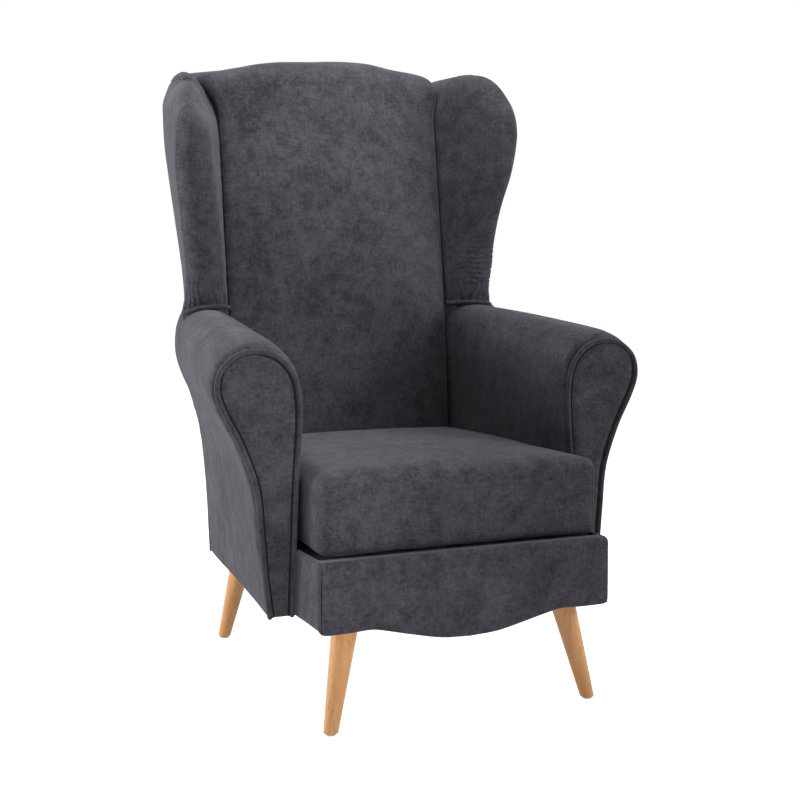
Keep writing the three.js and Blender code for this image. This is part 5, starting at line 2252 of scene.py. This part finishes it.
class FrameFinishes:
    """Gives the rigid CAD nodes their materials."""

    def __init__(self, nodes: dict[str, bpy.types.Object]) -> None:
        """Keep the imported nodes."""
        self.nodes = nodes

    def dress(self, palette: Palette) -> None:
        """Assign a finish to each rigid node by its name.

        Args:
            palette: The finishes.
        """
        rules = (
            (("glide",), palette.nylon),
            (("bolt", "plate", "spring", "clip_rail"), palette.steel),
            (("back_rail", "front_seat_rail", "rear_seat_rail"), palette.rail_wood),
            (("rail", "block", "post", "board", "stump"), palette.frame_wood),
        )
        for name, node in self.nodes.items():
            if node.hide_render:
                continue
            fitting = (finish for words, finish in rules if any(word in name for word in words))
            material = next(fitting, None)
            if material is None:
                LOG.warning("no finish for %s", name)
                continue
            if not node.material_slots:
                node.data.materials.append(material)
            for slot in node.material_slots:
                slot.link = "OBJECT"
                slot.material = material
            LOG.info("%s finished as %s", name, material.name)


# Stage


@dataclass
class Studio:
    """The camera at the photograph's viewing angle, the lamps and the floor."""

    azimuth: float = math.radians(-23.57)
    pitch: float = math.radians(5.99)
    roll: float = math.radians(-0.16)
    lens: float = 64.824
    distance: float = 2.5787
    across: float = 0.0379
    up: float = 0.4760
    forward: float = 0.0165
    sensor: float = 36
    lamp_aim: Place = (0, 0, 0.6)
    spot_radius: float = 0.28
    soft_strength: float = 0.09
    floor_tone: float = 0.86
    floor_radius: float = 14

    def camera(self) -> None:
        """Place the camera."""
        a, p, r = self.azimuth, self.pitch, self.roll
        back = Vector((math.sin(a) * math.cos(p), -math.cos(a) * math.cos(p), math.sin(p)))
        right = Vector((math.cos(a), math.sin(a), 0))
        up = back.cross(right)
        turned_right = right * math.cos(r) + up * math.sin(r)
        turned_up = up * math.cos(r) - right * math.sin(r)
        place = right * self.across + Vector((0, self.forward, self.up)) + back * self.distance
        data = bpy.data.cameras.new("camera")
        data.lens = self.lens
        data.sensor_width = self.sensor
        data.clip_start, data.clip_end = 0.05, 60
        camera = bpy.data.objects.new("camera", data)
        basis = Matrix((turned_right, turned_up, back)).transposed()
        camera.matrix_world = Matrix.Translation(place) @ basis.to_4x4()
        bpy.context.scene.collection.objects.link(camera)
        bpy.context.scene.camera = camera

    def lamp(self, name: str, place: Place, size: float, power: float) -> None:
        """Place a soft square lamp that looks at the middle of the chair."""
        data = bpy.data.lights.new(name, "AREA")
        data.shape = "SQUARE"
        data.size = size
        self.hang(data, place, self.lamp_aim, power)

    def spot(self, name: str, place: Place, aim: Place, angle: float, power: float) -> None:
        """Place a soft-edged spot lamp with a cone of an angle in degrees."""
        data = bpy.data.lights.new(name, "SPOT")
        data.spot_size = math.radians(angle)
        data.spot_blend = 1.0
        data.shadow_soft_size = self.spot_radius
        self.hang(data, place, aim, power)

    def hang(self, data: bpy.types.Light, place: Place, aim: Place, power: float) -> None:
        """Hang a lamp at a place and turn it to what it is aimed at."""
        data.energy = power
        lamp = bpy.data.objects.new(data.name, data)
        lamp.location = place
        lamp.rotation_euler = (Vector(aim) - Vector(place)).to_track_quat("-Z", "Y").to_euler()
        bpy.context.scene.collection.objects.link(lamp)

    def seen(self, desk: Desk) -> bpy.types.NodeSocket:
        """Return 1 where the camera, a mirror or a glass looks on, and 0 for other rays."""
        rays = desk.add("ShaderNodeLightPath").outputs
        direct = desk.math("MAXIMUM", rays["Is Camera Ray"], rays["Is Glossy Ray"])
        return desk.math("MAXIMUM", direct, rays["Is Transmission Ray"])

    def world(self) -> None:
        """Light the scene evenly, and show white where a ray goes past it."""
        world = bpy.data.worlds.new("studio")
        bpy.context.scene.world = world
        world.use_nodes = True
        desk = Desk(world.node_tree)
        both = desk.add("ShaderNodeMixShader")
        desk.link(self.seen(desk), both.inputs[0])
        for socket, strength in zip(both.inputs[1:], (self.soft_strength, 1.0)):
            light = desk.add("ShaderNodeBackground")
            desk.feed(light, Color=(1, 1, 1, 1), Strength=strength)
            desk.link(light.outputs[0], socket)
        desk.link(both.outputs[0], desk.add("ShaderNodeOutputWorld").inputs["Surface"])

    def floor(self) -> None:
        """Lay a white floor that keeps the chair's shadow."""
        material = bpy.data.materials.new("studio_floor")
        material.use_nodes = True
        desk = Desk(material.node_tree)
        grey = (*[self.floor_tone] * 3, 1)
        matt = desk.feed(desk.add("ShaderNodeBsdfDiffuse"), Color=grey)
        glow = desk.feed(desk.add("ShaderNodeEmission"), Strength=self.seen(desk))
        total = desk.add("ShaderNodeAddShader")
        desk.link(matt.outputs[0], total.inputs[0])
        desk.link(glow.outputs[0], total.inputs[1])
        desk.link(total.outputs[0], desk.add("ShaderNodeOutputMaterial").inputs["Surface"])
        bm = bmesh.new()
        bmesh.ops.create_circle(bm, cap_ends=True, segments=96, radius=self.floor_radius)
        mesh = bpy.data.meshes.new("floor")
        bm.to_mesh(mesh)
        bm.free()
        mesh.materials.append(material)
        floor = bpy.data.objects.new("floor", mesh)
        bpy.context.scene.collection.objects.link(floor)

    def build(self) -> None:
        """Set up the view and the light."""
        bpy.context.scene.view_settings.view_transform = "Standard"
        self.world()
        self.floor()
        self.lamp("overhead_lamp", (-0.1, 0.1, 3.0), 2.0, 42)
        self.lamp("right_lamp", (2.0, -1.6, 1.4), 1.2, 24)
        self.lamp("left_rear_lamp", (-2.2, 0.7, 0.9), 1.0, 32)
        self.spot("back_spot", (-0.1, -2.2, 2.1), (-0.05, 0.2, 1.0), 19, 180)
        self.spot("wing_spot", (-0.9, -1.8, 2.2), (0.27, 0.2, 1.02), 13, 80)
        self.spot("arm_spot", (-0.3, -2.6, 1.0), (-0.3, -0.25, 0.42), 12, 245)
        self.spot("leg_spot", (-0.5, -2.4, 0.25), (-0.12, -0.33, 0.02), 10, 90)


def main() -> None:
    """Build the chair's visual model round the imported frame."""
    logging.basicConfig(level=logging.INFO, format="%(name)s: %(message)s")
    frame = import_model()
    studio = Studio()
    studio.camera()
    studio.build()
    palette = Palette()
    Legs().build(palette)
    SeatBorder().build(palette)
    HiddenCloth().build(palette)
    Cushion().build(palette)
    Back().build(palette)
    Arms().build(palette)
    Wings().build(palette)
    FrameFinishes(frame["nodes"]).dress(palette)


if __name__ == "__main__":
    main()
